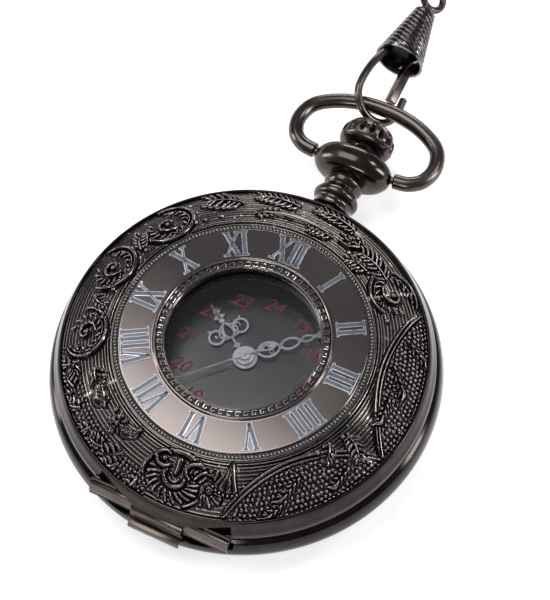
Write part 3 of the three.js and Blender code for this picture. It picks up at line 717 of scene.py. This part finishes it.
def make_numerals():
    middle = (CHAPTER_IN + CHAPTER_OUT) / 2
    edges, fills = [], []
    for i, text in enumerate(NUMERALS):
        edges.append(round_the_dial(numeral_bars(text, 0.07, 0, 0.07, 0.03), middle, i * 30, CHAPTER_Z))
        fills.append(round_the_dial(numeral_bars(text, -0.04, 0, 0.1, 0.02), middle, i * 30, CHAPTER_Z))
    piece("numeral_outlines", edges, "numeral_edge", "lid", "lid_metal")
    piece("numeral_faces", fills, "numeral_fill", "lid", "lid_metal")


# ---- scrollwork ---------------------------------------------------------------------------------
BOLD = 1.4  # how much broader than drawn a stroke is
EMBOSS = 1.5  # how much higher than drawn it stands
RANDOM = np.random.default_rng(12)


class Relief:
    """Heights over the scrollwork ring on a polar grid. Angles are clockwise from 12."""

    def __init__(self, rows, columns):
        self.radii = np.linspace(RELIEF_IN, RELIEF_OUT, rows)
        self.angles = round_angles(columns)
        self.r, self.a = np.meshgrid(self.radii, self.angles, indexing="ij")
        self.x, self.y = self.r * np.sin(self.a), self.r * np.cos(self.a)
        self.height = np.zeros_like(self.r)

    def window(self, x, y, reach):
        """Row and column indices of the grid within reach of some points."""
        radius = np.hypot(x, y)
        rows = np.nonzero((self.radii > radius.min() - reach) & (self.radii < radius.max() + reach))[0]
        middle = math.atan2(x.mean(), y.mean())
        turn = (np.arctan2(x, y) - middle + math.pi) % TURN - math.pi
        spread = np.abs(turn).max() + reach / RELIEF_IN
        away = (self.angles - middle + math.pi) % TURN - math.pi
        return np.ix_(rows, np.nonzero(np.abs(away) < spread)[0])

    def stroke(self, x, y, widths, height, moat=0.16, flat=False):
        """A raised line along a path, with its own half widths, and a groove beside it."""
        widths = BOLD * np.broadcast_to(np.asarray(widths, float), x.shape)
        cells = self.window(x, y, widths.max() + moat)
        gx, gy = self.x[cells][..., None], self.y[cells][..., None]
        dx, dy = np.diff(x), np.diff(y)
        length = np.maximum(dx**2 + dy**2, 1e-9)
        t = np.clip(((gx - x[:-1]) * dx + (gy - y[:-1]) * dy) / length, 0, 1)
        far = np.hypot(gx - x[:-1] - t * dx, gy - y[:-1] - t * dy)
        half = widths[:-1] + t * np.diff(widths)
        near = np.argmin(far - half, -1)[..., None]
        far, half = np.take_along_axis(far, near, -1)[..., 0], np.take_along_axis(half, near, -1)[..., 0]
        share = np.clip(far / np.maximum(half, 1e-3), 0, 1)
        rise = EMBOSS * height * (np.clip(1.6 * (1 - share), 0, 1) ** 0.5 if flat else np.sqrt(1 - share**2))
        tall = rise * np.clip(half / 0.16, 0.35, 1) ** 0.7
        old = self.height[cells]
        sunk = np.minimum(old, -0.12)
        self.height[cells] = np.where(far < half, tall, np.where(far < half + moat, sunk, old))

    def ground(self, where, pattern):
        self.height = np.where(where, pattern, self.height)


class Spot:
    """A place on the ring where a motif is drawn: u runs clockwise and v outwards."""

    def __init__(self, relief, angle, radius, tilt=0.0, flip=1, size=1.0, stretch=1.0):
        self.relief, self.angle, self.radius = relief, math.radians(angle), radius
        self.tilt, self.flip, self.size, self.stretch = math.radians(tilt), flip, size, stretch

    def line(self, points, widths, height, **how):
        """Draws a stroke through (u, v) points. Angles run clockwise from 12, so x is the sine."""
        p = np.asarray(points, float) * self.size
        u = p[:, 0] * self.flip * self.stretch
        u, v = (u * math.cos(self.tilt) - p[:, 1] * math.sin(self.tilt),
                u * math.sin(self.tilt) + p[:, 1] * math.cos(self.tilt))
        r, a = self.radius + v, self.angle + u / self.radius
        self.relief.stroke(r * np.sin(a), r * np.cos(a), np.asarray(widths) * self.size, height, **how)

    def dot(self, u, v, radius, height):
        self.line([(u, v), (u + 0.01, v)], radius, height, moat=0.06)


def tapered(count, start, middle, end):
    """Half widths along a stroke that swells between its ends."""
    return np.interp(np.linspace(0, 1, count), [0, 0.45, 1], [start, middle, end])


def arc(u, v, radius, start, end, count=18):
    return moved_points(polar(radius, np.radians(np.linspace(start, end, count))), u, v)


def spiral(spot, radius, turns, start, width=0.26, height=0.42):
    """A C-scroll that winds in from its rim to a boss."""
    t = np.linspace(0, 1, 44)
    angle = np.radians(start) + t * turns * TURN
    reach = radius * (1 - 0.86 * t**0.8)
    spot.line(polar(reach, angle), np.interp(t, [0, 0.25, 1], [0.06, width, 0.1]), height)
    spot.dot(0, 0, 0.26, height * 1.05)


def fringe(spot, radius, length, start, end, lobes, height=0.36):
    """Short lobes that stand out from an arc like a fan."""
    t = np.array([0, 0.5, 1])
    for degrees in np.linspace(start, end, lobes):
        lobe = polar(radius + length * t, math.radians(degrees) + 0.25 * t)
        spot.line(lobe, [0.05, 0.12, 0.1], height, moat=0.05)


def leaf(spot, length, width, lobes, bend=0.5, height=0.4):
    """An acanthus leaf along +u: a rib and curled lobes that shrink towards the tip."""
    t = np.linspace(0, 1, 16)
    rib = np.stack([length * t, bend * np.sin(t * math.pi * 0.75)], -1)
    for k in range(lobes):
        share = (k + 0.4) / lobes
        at = rib[min(int(share * 15), 14)]
        reach = width * math.sin(math.pi * (0.22 + 0.7 * share)) ** 0.8
        for side in (-1, 1):
            points = [at, at + (0.28 * reach, 0.45 * side * reach), at + (0.75 * reach, 0.85 * side * reach),
                      at + (1.15 * reach, 0.8 * side * reach)]
            spot.line(spline(points, 4), tapered(13, 0.08, 0.2, 0.06), height * 0.85, moat=0.09)
    spot.line(rib, tapered(16, 0.14, 0.11, 0.04), height, moat=0.05)


def frond(spot, length, blades=4):
    """Long smooth blades that sweep the same way from one stem."""
    for k in range(blades):
        u, v = 0.22 * length * k, 0.28 * k
        blade = spline([(u, v), (u + 0.3 * length, v + 0.45), (u + 0.65 * length, v + 0.1)], 8)
        spot.line(blade, tapered(len(blade), 0.07, 0.23, 0.04), 0.44, moat=0.12)


def flower(spot, petals=5, radius=0.95):
    for k in range(petals):
        a = TURN * k / petals + 0.3
        tip = np.array([math.cos(a), math.sin(a)]) * radius
        spot.line([tip * 0.3, tip * 0.7, tip], [0.12, 0.27, 0.1], 0.38, moat=0.07)
    spot.dot(0, 0, 0.22, 0.48)


def shell(spot):
    """The large shell at 6 o'clock: a ribbed fan in a wide C-scroll, with a scroll on each shoulder."""
    fringe(spot, 1.0, 0.85, 130, 410, 19)
    spot.line(arc(0, 0.05, 0.72, 150, 390), tapered(18, 0.1, 0.18, 0.1), 0.44)
    spot.line(arc(0, 0.0, 0.32, 170, 370), tapered(18, 0.06, 0.12, 0.06), 0.4)
    spot.line([(0, 0.35), (0.05, 0.9), (0.0, 1.5)], [0.1, 0.2, 0.24], 0.46)
    spot.line(arc(0, 0, 2.15, -60, 200, 26), tapered(26, 0.08, 0.22, 0.1), 0.48)
    spot.line(arc(-1.15, 1.15, 0.62, 60, 330), tapered(18, 0.07, 0.18, 0.1), 0.44)
    spot.line(arc(1.35, 0.9, 0.72, -60, 240), tapered(18, 0.07, 0.18, 0.1), 0.44)
    spot.dot(-1.15, 1.15, 0.2, 0.46)
    spot.dot(1.35, 0.9, 0.22, 0.46)


PANEL_OUT = 20.95  # outer edge of the almond panels


def panel(relief, start, end, deep, fronds):
    """An almond panel against the outer edge, pebbled inside, with fronds along it."""
    middle, half = math.radians((start + end) / 2), math.radians((end - start) / 2)
    away = (relief.a - middle + math.pi) % TURN - math.pi
    share = np.clip(1 - (away / half) ** 2, 0, None) ** 0.75
    inner = PANEL_OUT - deep * share
    inside = (relief.r > inner) & (np.abs(away) < half)
    relief.ground(inside, -0.1)
    pebbles(relief, inside & (relief.r > inner + 0.45), PEBBLE)
    t = np.linspace(-1, 1, 60)
    edge = PANEL_OUT - deep * np.clip(1 - t**2, 0, None) ** 0.75
    a = middle + half * t
    for offset, width, height in ((0.0, 0.16, 0.44), (0.42, 0.09, 0.34)):
        r = np.minimum(edge + offset, 21.1)
        relief.stroke(r * np.sin(a), r * np.cos(a), width, height)
    for share, radius, tilt, length in fronds:
        frond(Spot(relief, start + (end - start) * share, radius, tilt), length)


def pebbles(relief, where, pitch):
    """Rows of round grains, none quite in its row, wherever the mask allows."""
    for i, r in enumerate(np.arange(RELIEF_IN, RELIEF_OUT, pitch * 0.87)):
        count = int(TURN * r / pitch)
        column = relief.a / TURN * count + 0.5 * (i % 2)
        cell = np.floor(column).astype(int) % count
        aside, out, size = RANDOM.uniform(-0.12, 0.12, (3, count))[:, cell]
        near = (column % 1 - 0.5 + aside) * pitch
        share = (near**2 + (relief.r - r - out * pitch) ** 2) / ((0.42 + size / 2) * pitch) ** 2
        lift = 0.42 * np.sqrt(np.clip(1 - share, 0, None)) - 0.1
        relief.height = np.where(where & (lift > relief.height), lift, relief.height)


def ribbed_ground(relief):
    """Fine concentric lines on the ground, and plain grooves beside the bead ring."""
    relief.ground(relief.r > 0, 0.08 * np.cos(TURN * relief.r / 0.42) - 0.04)
    relief.ground(relief.r < 16.1, 0.16 * np.cos(TURN * (relief.r - RELIEF_IN) / 0.4) + 0.04)


# Where the motifs stand. Angles are in degrees clockwise from 12, radii in millimetres.
PEBBLE = 0.58
PEBBLED = {"start": 186, "end": 245, "inner": 19.2}
PANELS = [  # start, end and depth, and its fronds: share of the way round, radius, tilt and length
    (107, 160, 4.7, ((0.18, 19.6, -8, 2.6), (0.5, 18.2, 10, 3.0), (0.62, 20.0, 4, 2.8))),
    (54, 106, 4.6, ((0.2, 18.9, 24, 2.8), (0.42, 17.6, 14, 3.2), (0.66, 18.3, -16, 3.0))),
]
MEDALLIONS = [  # angle, radius, size, flip, and the direction in which its rim starts
    (46, 18.5, 2.5, 1, 60), (17, 18.6, 1.2, -1, 40), (304, 18.4, 2.5, -1, 90),
    (277, 18.6, 2.4, -1, 120), (249, 18.5, 2.3, 1, 120),
]
LEAVES = [  # angle, radius, tilt, flip, length, width, lobes
    (39, 18.6, 12, -1, 4.6, 1.25, 7), (33, 16.9, 30, -1, 2.6, 0.8, 5), (15, 20.2, 4, -1, 5.2, 0.8, 8),
    (12, 17.1, 18, -1, 2.8, 0.7, 5), (354, 19.6, -6, -1, 5.0, 1.0, 8), (334, 18.9, -12, -1, 4.2, 1.3, 6),
    (339, 17.0, 6, 1, 2.6, 0.6, 5), (289, 17.4, 40, 1, 2.4, 0.7, 5), (264, 18.8, 70, -1, 2.0, 0.6, 4),
    (238, 19.6, -24, -1, 3.2, 0.9, 6), (233, 17.4, 14, -1, 2.2, 0.7, 4), (199, 19.2, 30, 1, 3.0, 0.8, 5),
    (110, 16.9, 66, 1, 2.8, 0.6, 6), (118, 16.5, 30, 1, 1.9, 0.5, 4),
]
BERRIES = (255, 268, 290, 314, 318, 325, 3, 22, 28, 57, 112, 166, 213, 226)
BERRY_RING_R = 16.8


def draw_scrollwork(relief):
    ribbed_ground(relief)
    degrees = np.degrees(relief.a)
    pebbled = (degrees > PEBBLED["start"]) & (degrees < PEBBLED["end"]) & (relief.r > PEBBLED["inner"])
    pebbles(relief, pebbled, PEBBLE)
    for start, end, deep, fronds in PANELS:
        panel(relief, start, end, deep, fronds)
    shell(Spot(relief, 178.5, 18.5, 180, 1, 1.28, 1.35))
    spiral(Spot(relief, 165.5, 18.7, 0, -1, 1.5), 1.35, 1.4, 200)
    fringe(Spot(relief, 166, 18.4, 0, 1, 1.5), 0.6, 0.7, 60, 230, 7)
    horn(Spot(relief, 159, 17.2, 75, 1, 1.1))
    for angle, radius, size, flip, start in MEDALLIONS:
        medallion(Spot(relief, angle, radius, 0, flip, 1.08, 1.25), size, start)
    for angle, radius, tilt, flip, length, width, lobes in LEAVES:
        leaf(Spot(relief, angle, radius, tilt, flip), 1.1 * length, 1.45 * width, lobes)
    for k, angle in enumerate(range(190, 246, 8)):
        leaf(Spot(relief, angle, 20.3, 50 - 25 * (k % 3), 1), 2.2, 0.9, 4)
    petal(Spot(relief, 222, 17.3, -14, 1, 1.25))
    flower(Spot(relief, 208, 17.5, size=1.3))
    petal(Spot(relief, 203, 16.9, 24, -1, 1.0))
    ribbon(relief, 340, 372, 17.3)
    for angle in BERRIES:
        Spot(relief, angle, BERRY_RING_R).dot(0, 0, 0.24, 0.36)


def horn(spot):
    """A trumpet-shaped bud with a dotted lip."""
    for side in (-0.8, -0.3, 0.3, 0.8):
        mouth = (1.2, 1.2 * side)
        spot.line([(-1.6, 0.1 * side), (0, 0.6 * side), mouth], [0.08, 0.2, 0.26], 0.4, moat=0.05)
    for side in np.linspace(-1.2, 1.2, 7):
        spot.dot(1.7 - 0.25 * side**2, side, 0.13, 0.4)


def medallion(spot, size, start):
    """A round scroll with a double rim, a grained bowl and a curled leaf inside."""
    spot.line(arc(0, 0, size, start, start + 250, 30), tapered(30, 0.08, 0.24, 0.1), 0.46)
    spot.line(arc(0, 0, size * 0.82, start + 10, start + 230, 30), tapered(30, 0.05, 0.1, 0.05), 0.34)
    spiral(spot, size * 0.5, 1.1, start + 150, 0.17)
    fringe(spot, size * 0.56, size * 0.2, start + 20, start + 300, int(5.5 * size))


def petal(spot):
    """A broad smooth leaf with a few veins."""
    spot.line([(-1.3, 0), (-0.3, 0.25), (0.7, 0.2), (1.5, -0.3)], [0.08, 0.62, 0.45, 0.05], 0.34, flat=True)
    for k in (-0.6, -0.2, 0.2, 0.6):
        spot.line([(k, 0.1), (k + 0.35, 0.42)], [0.06, 0.04], 0.34, moat=0.04)


def ribbon(relief, start, end, radius):
    """A smooth pointed band that follows the ring."""
    a = np.radians(np.linspace(start, end, 40))
    r = radius + 0.35 * np.sin(np.linspace(0, math.pi, 40))
    relief.stroke(r * np.sin(a), r * np.cos(a), tapered(40, 0.05, 0.5, 0.05), 0.3, flat=True)


def make_scrollwork():
    rows, columns, sectors = 84, 1536, 6
    relief = Relief(rows, columns)
    draw_scrollwork(relief)
    fade_in = np.clip((relief.radii - RELIEF_IN) / 0.12, 0, 1)
    fade_out = np.clip((RELIEF_OUT - relief.radii) / 0.15, 0, 1)
    z = relief_z(relief.r) - 0.2 + relief.height * (fade_in * fade_out)[:, None]
    grid = np.stack([relief.x, relief.y, z], -1)
    span = columns // sectors
    for s in range(sectors):
        part = grid[:, (np.arange(span + 1) + s * span) % columns]
        index = np.arange(part.shape[0] * part.shape[1]).reshape(part.shape[:2])
        faces = np.stack([index[:-1, :-1], index[1:, :-1], index[1:, 1:], index[:-1, 1:]], -1).reshape(-1, 4)
        mesh = bpy.data.meshes.new(f"lid_scrollwork_{s + 1}")
        mesh.from_pydata((part.reshape(-1, 3) * MM).tolist(), [], faces[:, ::-1].tolist())
        finished(mesh.name, mesh, "relief", "lid", sharp=180)


# ---- dial and hands -----------------------------------------------------------------------------
def make_dial():
    plate = softened(box_outline(DIAL["hole"], DIAL["r"], DIAL["low"], DIAL["top"]), 0.04)
    piece("dial_plate", turned(plate), "dial", "case", "dial_black", ["dial"])
    slope = softened([(16.9, 7.55), (18.3, 7.55), (18.3, 9.25), (17.5, 9.25)], 0.1)
    piece("dial_rehaut", turned(slope), "dial", "case", "dial_black", ["dial_ring"])
    for hour in range(1, 13):
        printed(f"dial_hour_24h_{hour + 12}", str(hour + 12), 30 * hour, "red", **NUMBERS_24)
        printed(f"dial_hour_{hour}", str(hour), 30 * hour, "white", **NUMBERS_12)
    marks = []
    for minute in range(60):
        length, width = (0.75, 0.3) if minute % 5 == 0 else (0.4, 0.12)
        mark = swept([(0, -length / 2), (0, length / 2)], bar_section(width, 0, 0.02, 0.005))
        marks.append(round_the_dial(mark, 15.9, minute * 6, DIAL["top"]))
    piece("dial_minute_track", marks, "white", "case", "dial_black")


def printed(name, text, angle, material, radius, size, slant):
    """A printed number that stands upright on the dial."""
    curve = bpy.data.curves.new(name, "FONT")
    curve.body = text
    curve.size = size * MM
    curve.shear = slant
    curve.offset = 0.012 * size * MM
    curve.extrude = 0.008 * MM
    curve.align_x, curve.align_y = "CENTER", "CENTER"
    holder = bpy.data.objects.new(name, curve)
    bpy.context.scene.collection.objects.link(holder)
    mesh = bpy.data.meshes.new_from_object(holder.evaluated_get(bpy.context.evaluated_depsgraph_get()))
    bpy.data.objects.remove(holder)
    a = math.radians(angle)
    place = Vector((radius * math.sin(a), radius * math.cos(a), DIAL["top"] + 0.01)) * MM
    mesh.transform(Matrix.Translation(place))
    finished(name, mesh, material, "case")


def strip(points, width, sizes=None, closed=False):
    return swept(points, bar_section(width, 0, HAND_THICK, 0.035), closed, sizes)


def flat_ring(x, y, radius, width, start=0, end=360):
    closed = end - start == 360
    angles = np.radians(np.linspace(start, end, 40, endpoint=not closed))
    return strip(moved_points(polar(radius, angles), x, y), width, closed=closed)


def hub(outer, hole):
    return flat_ring(0, 0, (outer + hole) / 2, outer - hole)


def kite(low, high, half, waist=0.5):
    """A solid diamond along the hand."""
    middle = low + (high - low) * waist
    return strip([(0, low), (0, middle), (0, high)], 2 * half, [0.12, 1, 0.08])


def hour_hand():
    shapes = [hub(1.5, 0.98), hub(0.92, 0.68), strip([(0, 1.4), (0, 3.3)], 0.22), kite(1.5, 2.3, 0.5)]
    for side in (-1, 1):
        inner = [(0, 3.0), (side * 0.55, 3.6), (side * 0.5, 4.5), (0, 5.4)]
        outer = [(0, 3.2), (side * 0.9, 3.3), (side * 1.1, 4.3), (side * 0.2, 5.2)]
        shapes.append(flat_ring(side * 1.62, 4.0, 0.9, 0.26))
        shapes.append(flat_ring(side * 1.3, 4.25, 0.36, 0.2, 90 - side * 140, 180))
        shapes.append(strip(spline(inner, 6), 0.22))
        shapes.append(strip(spline(outer, 6), 0.2))
        shapes.append(strip([(side * 1.9, 4.85), (side * 2.15, 5.25)], 0.34, [1, 0.2]))
    shapes += [kite(5.2, 6.2, 0.42), strip([(0, 6.0), (0, 8.3)], 0.34, [1, 0.3])]
    shapes += [kite(5.9, 6.8, 0.78, 0.35), kite(6.7, 7.7, 0.5, 0.3)]
    return shapes


def minute_hand():
    shapes = [hub(1.1, 0.46), strip([(0, 1.0), (0, 1.7)], 0.3)]
    for side in (-1, 1):
        big = [(0, 1.5), (side * 0.7, 2.1), (side * 0.95, 3.0), (side * 0.6, 3.9), (0, 4.4)]
        mid = [(0, 4.3), (side * 0.5, 4.9), (side * 0.66, 5.6), (side * 0.45, 6.4), (0, 6.9)]
        end = [(0, 6.8), (side * 0.36, 7.5), (side * 0.3, 8.1), (0, 8.7)]
        shapes += [strip(spline(line, 7), 0.24) for line in (big, mid)]
        shapes.append(strip(spline(end, 6), 0.2))
        shapes.append(flat_ring(side * 0.4, 3.2, 0.24, 0.14))
    shapes += [kite(4.1, 4.7, 0.3), kite(6.6, 7.1, 0.28), kite(8.5, 10.1, 0.55, 0.6)]
    shapes.append(strip([(0, 9.6), (0, 11.4)], 0.3, [1, 0.2]))
    return shapes


def seconds_hand():
    rod = strip([(0, -2.4), (0, 11.8)], 0.17, [1.1, 0.6])
    outline = [(0, -4.0), (0.36, -3.3), (0.3, -2.6), (0, -1.7), (-0.3, -2.6), (-0.36, -3.3)]
    tail = strip(spline(outline, 5, True), 0.18, closed=True)
    return [hub(0.62, 0.2), rod, tail, kite(-3.9, -2.9, 0.26)]


def make_hands():
    for name, shapes in (("hour", hour_hand()), ("minute", minute_hand()), ("seconds", seconds_hand())):
        body, angle, low = HANDS[name]
        turned_shapes = [turned_round(moved(s, z=low), -angle) for s in shapes]
        piece(f"{name}_hand_filigree", turned_shapes, "hand", body, "hand_white", [f"{name}_hand"])


def make_crystal():
    lens = softened(box_outline(0, CRYSTAL["r"], CRYSTAL["low"], CRYSTAL["high"]), 0.15)
    piece("crystal_glass", turned(lens), "glass", "case", "glass_clear", ["crystal"])
    bezel = softened([(18.45, 8.2), (21.2, 8.2), (21.2, 8.9), (19.4, 10.25), (17.9, 10.25), (17.9, 9.95),
                      (18.45, 9.95)], 0.2)
    notch = block(-2.9, 2.9, 19.7, 24, 7, 9.2)
    ring = turned(bezel)
    piece("crystal_bezel_ring", ring, "case", "case", "case_metal", ["crystal_bezel"], cutters=[notch])


# ---- pendant, crown and bow ---------------------------------------------------------------------
def make_pendant():
    neck = [(STEM_BORE_R, 23.6), (2.7, 23.6), (2.4, 24.35), (2.45, 24.8), (2.85, 25.15), (3.0, 25.6),
            (2.85, 26.1), (2.4, 26.5), (2.1, 26.95), (2.4, 27.35), (2.6, 27.9), (2.4, 28.4), (2.1, 28.75),
            (2.1, 30.4), (STEM_BORE_R, 30.4)]
    neck_shape = along_y(turned(softened(neck, 0.3, 4), 96))
    low, high = BALL["low"], BALL["high"]
    middle, half = (low + high) / 2, (high - low) / 2
    swell = [(0.42, -1), (0.76, -0.86), (0.94, -0.5), (1, -0.05), (0.95, 0.45), (0.78, 0.8), (0.42, 1)]
    ball = [(r * BALL["r"], middle + y * half) for r, y in spline(swell, 6)]
    points, faces = along_y(turned(ball + [(STEM_BORE_R, high), (STEM_BORE_R, low)], LENS_SIDES))
    flattened = points * np.array([1, 1, BALL["flat"]]), faces
    shapes = [moved(s, z=PENDANT_Z) for s in (neck_shape, flattened)]
    piece("pendant_body", shapes, "pendant", "case", "case_metal", ["pendant"])


def make_crown():
    base, top, wide, cap = CROWN["base"], CROWN["top"], CROWN["r"], CROWN["cap"]
    bowl = spline([(2.3, base), (3.2, base + 0.45), (3.55, base + 1.1), (wide, base + 1.6),
                   (wide - 0.05, base + 2.1), (cap + 0.35, base + 2.6), (cap + 0.05, base + 2.75)], 6)
    rim = [(cap - 0.05, base + 2.8), (cap, base + 3.2), (cap - 0.6, top), (0, top), (0, 36), (0.58, 36),
           (0.58, 34.6), (1.35, 34.6), (1.35, base)]
    profile = [tuple(p) for p in bowl] + softened(rim, 0.08)

    def flutes(angles, radius, height):
        cut = np.clip(1 - 3.5 * np.abs(np.mod(CROWN["flutes"] * angles / TURN, 1) - 0.5), 0, 1)
        outside = np.clip((radius - cap - 0.02) / 0.2, 0, 1)
        return 1 - 0.2 * cut * outside * np.clip((height - base - 0.9) / 0.5, 0, 1)

    body = along_y(turned(profile, 16 * CROWN["flutes"], flutes), PENDANT_Z)
    piece("crown_fluted", body, "wire", "crown", "case_metal", ["crown"], sharp=40)


def make_bow():
    half = [(BOW["end"], 0), (7.4, 0.35), (8.9, 1.6), (9.5, 3.9), (8.6, 6.5), (6, 8.3), (3, 9.25)]
    line = half + [(0, 9.5)] + [(-x, y) for x, y in reversed(half)]
    path = spline([(x, y, 0) for x, y in line], 8)
    ends = [(side * BOW["peg_inner"], side * (BOW["end"] + 0.6)) for side in (-1, 1)]
    pegs = [wire([(x0, 0, 0), (x1, 0, 0)], BOW["peg"], sides=16) for x0, x1 in ends]
    shapes = [moved(s, y=BOW_Y, z=PENDANT_Z) for s in [wire(path, BOW["wire"], sides=28), *pegs]]
    piece("bow_ring", shapes, "wire", "bow", "case_metal", ["bow"])


# ---- snap hook ----------------------------------------------------------------------------------
def onto_bow(shape):
    """From the clasp's own flat drawing to its place on the bow."""
    return moved(turned_round(shape, HOOK["roll"], "Y"), HOOK["x"], BOW_Y, PENDANT_Z)


def clasp_piece(name, shapes, material, body, replaces, **how):
    piece(name, [onto_bow(s) for s in shapes], material, body, "case_metal", replaces, **how)


def make_snap_hook():
    mouth, loop, centre = HOOK["mouth"], HOOK["loop"], HOOK["bottom"] + HOOK["loop"]
    line = [(-2.1, mouth + 1.2), (-2.35, mouth), (-3.1, mouth - 2.6), (-loop, centre + 1.6)]
    line += [tuple(p) for p in arc(0, centre, loop, 180, 360, 10)] + [(loop - 0.1, HOOK["tip"])]
    path = spline([(x, y, 0) for x, y in line], 6)
    clasp_piece("clasp_hook_wire", [wire(path, HOOK["wire"], sides=20)], "wire", "clasp", ["clasp_hook"])
    clasp_piece("clasp_cone", [cone_shell()], "ribbed", "clasp", ["clasp_body"], sharp=30)
    wide, deep = GATE["wide"] / 2, GATE["half_deep"]
    gate = [swept([(GATE["top_x"], mouth + 1.1), (GATE["tip_x"], GATE["tip"])],
                  [(-wide, -deep), (wide, -deep), (wide, deep), (-wide, deep)])]
    clasp_piece("clasp_gate_leaf", gate, "wire", "gate", ["clasp_gate"], bevel=0.1)
    make_swivel(mouth + CONE["length"])


def cone_shell():
    """The hook's cone, wound with slanting ridges, open at its mouth."""
    mouth, rear = HOOK["mouth"], HOOK["mouth"] + CONE["length"]

    def outer_r(height):
        return CONE["mouth_r"] - CONE["slope"] * (height - mouth)

    bore_r = CONE["mouth_r"] - CONE["wall"]
    outer = [(outer_r(y), y) for y in np.linspace(mouth, rear, 70)]
    bore = [(0.95, rear + 0.02), (0.62, rear), (0.62, rear - 0.8), (0.95, rear - 0.8), (0.95, rear - 2.4),
            (0, rear - 2.4), (0, mouth + 1.5), (bore_r - 1.5 * CONE["slope"], mouth + 1.5), (bore_r, mouth)]

    def winding(angles, radius, height):
        outside = (radius > outer_r(height) - 0.02) & (height > mouth + 0.5)
        slant = height + 0.5 * radius * np.cos(angles + math.radians(HOOK["roll"]))
        wound = np.abs(np.sin(math.pi * slant / 0.8)) ** 0.5
        return 1 - np.where(outside, 0.07 * (1 - wound), 0.0)

    return along_y(turned(outer + bore, 120, winding))


def make_swivel(rear):
    eye_y = rear + 1.2 + SWIVEL["eye_r"]
    post = softened([(0, rear - 2.2), (0.85, rear - 2.2), (0.85, rear - 0.9), (0.5, rear - 0.9),
                     (0.5, rear + 0.1), (0.9, rear + 0.1), (0.9, rear + 0.7), (0.5, rear + 1.3),
                     (0, rear + 1.3)], 0.12)
    eye = hoop(SWIVEL["eye_r"], SWIVEL["eye_wire"])
    clasp_piece("clasp_swivel_eye", [along_y(turned(post, 48)), moved(eye, y=eye_y)], "wire", "swivel",
                ["clasp_swivel"])
    ring_y = eye_y + SWIVEL["eye_r"] + SWIVEL["ring_r"] - 1
    ring = turned_round(hoop(SWIVEL["ring_r"], SWIVEL["ring_wire"]), 90, "Y")
    clasp_piece("clasp_end_ring", [moved(ring, y=ring_y)], "wire", "end_ring", ["clasp_ring"])


def hoop(radius, wire_r):
    """A closed wire ring round Z."""
    return wire(round_section(radius, 64), wire_r, True)


# ---- floor --------------------------------------------------------------------------------------
def make_floor():
    side, cells, below = 3000.0, 24, 0.02
    steps = np.linspace(-side / 2, side / 2, cells + 1)
    points = [(x, y, -below) for y in steps for x in steps]
    row = cells + 1
    faces = [(j * row + i, j * row + i + 1, (j + 1) * row + i + 1, (j + 1) * row + i)
             for j in range(cells) for i in range(cells)]
    mesh = mesh_from("floor", points, faces)
    made = Nodes("paper_floor")
    tone = made.noise(40.0)
    paper = made.blend(tone, (0.93, 0.93, 0.93), (0.96, 0.96, 0.96))
    made.link(paper, made.shader.inputs["Emission Color"])
    made.shader.inputs["Emission Strength"].default_value = 0.5
    mesh.materials.append(made.paint(paper, made.spread(tone, 0.3, 0.7, 0.85, 0.95), 0.0))
    floor = bpy.data.objects.new("floor", mesh)
    bpy.context.scene.collection.objects.link(floor)


make_camera()
make_lights()
paint_carried_nodes()
make_case()
make_hinge()
make_lid_body()
make_borders()
make_numerals()
make_scrollwork()
make_dial()
make_hands()
make_crystal()
make_pendant()
make_crown()
make_bow()
make_snap_hook()
make_floor()
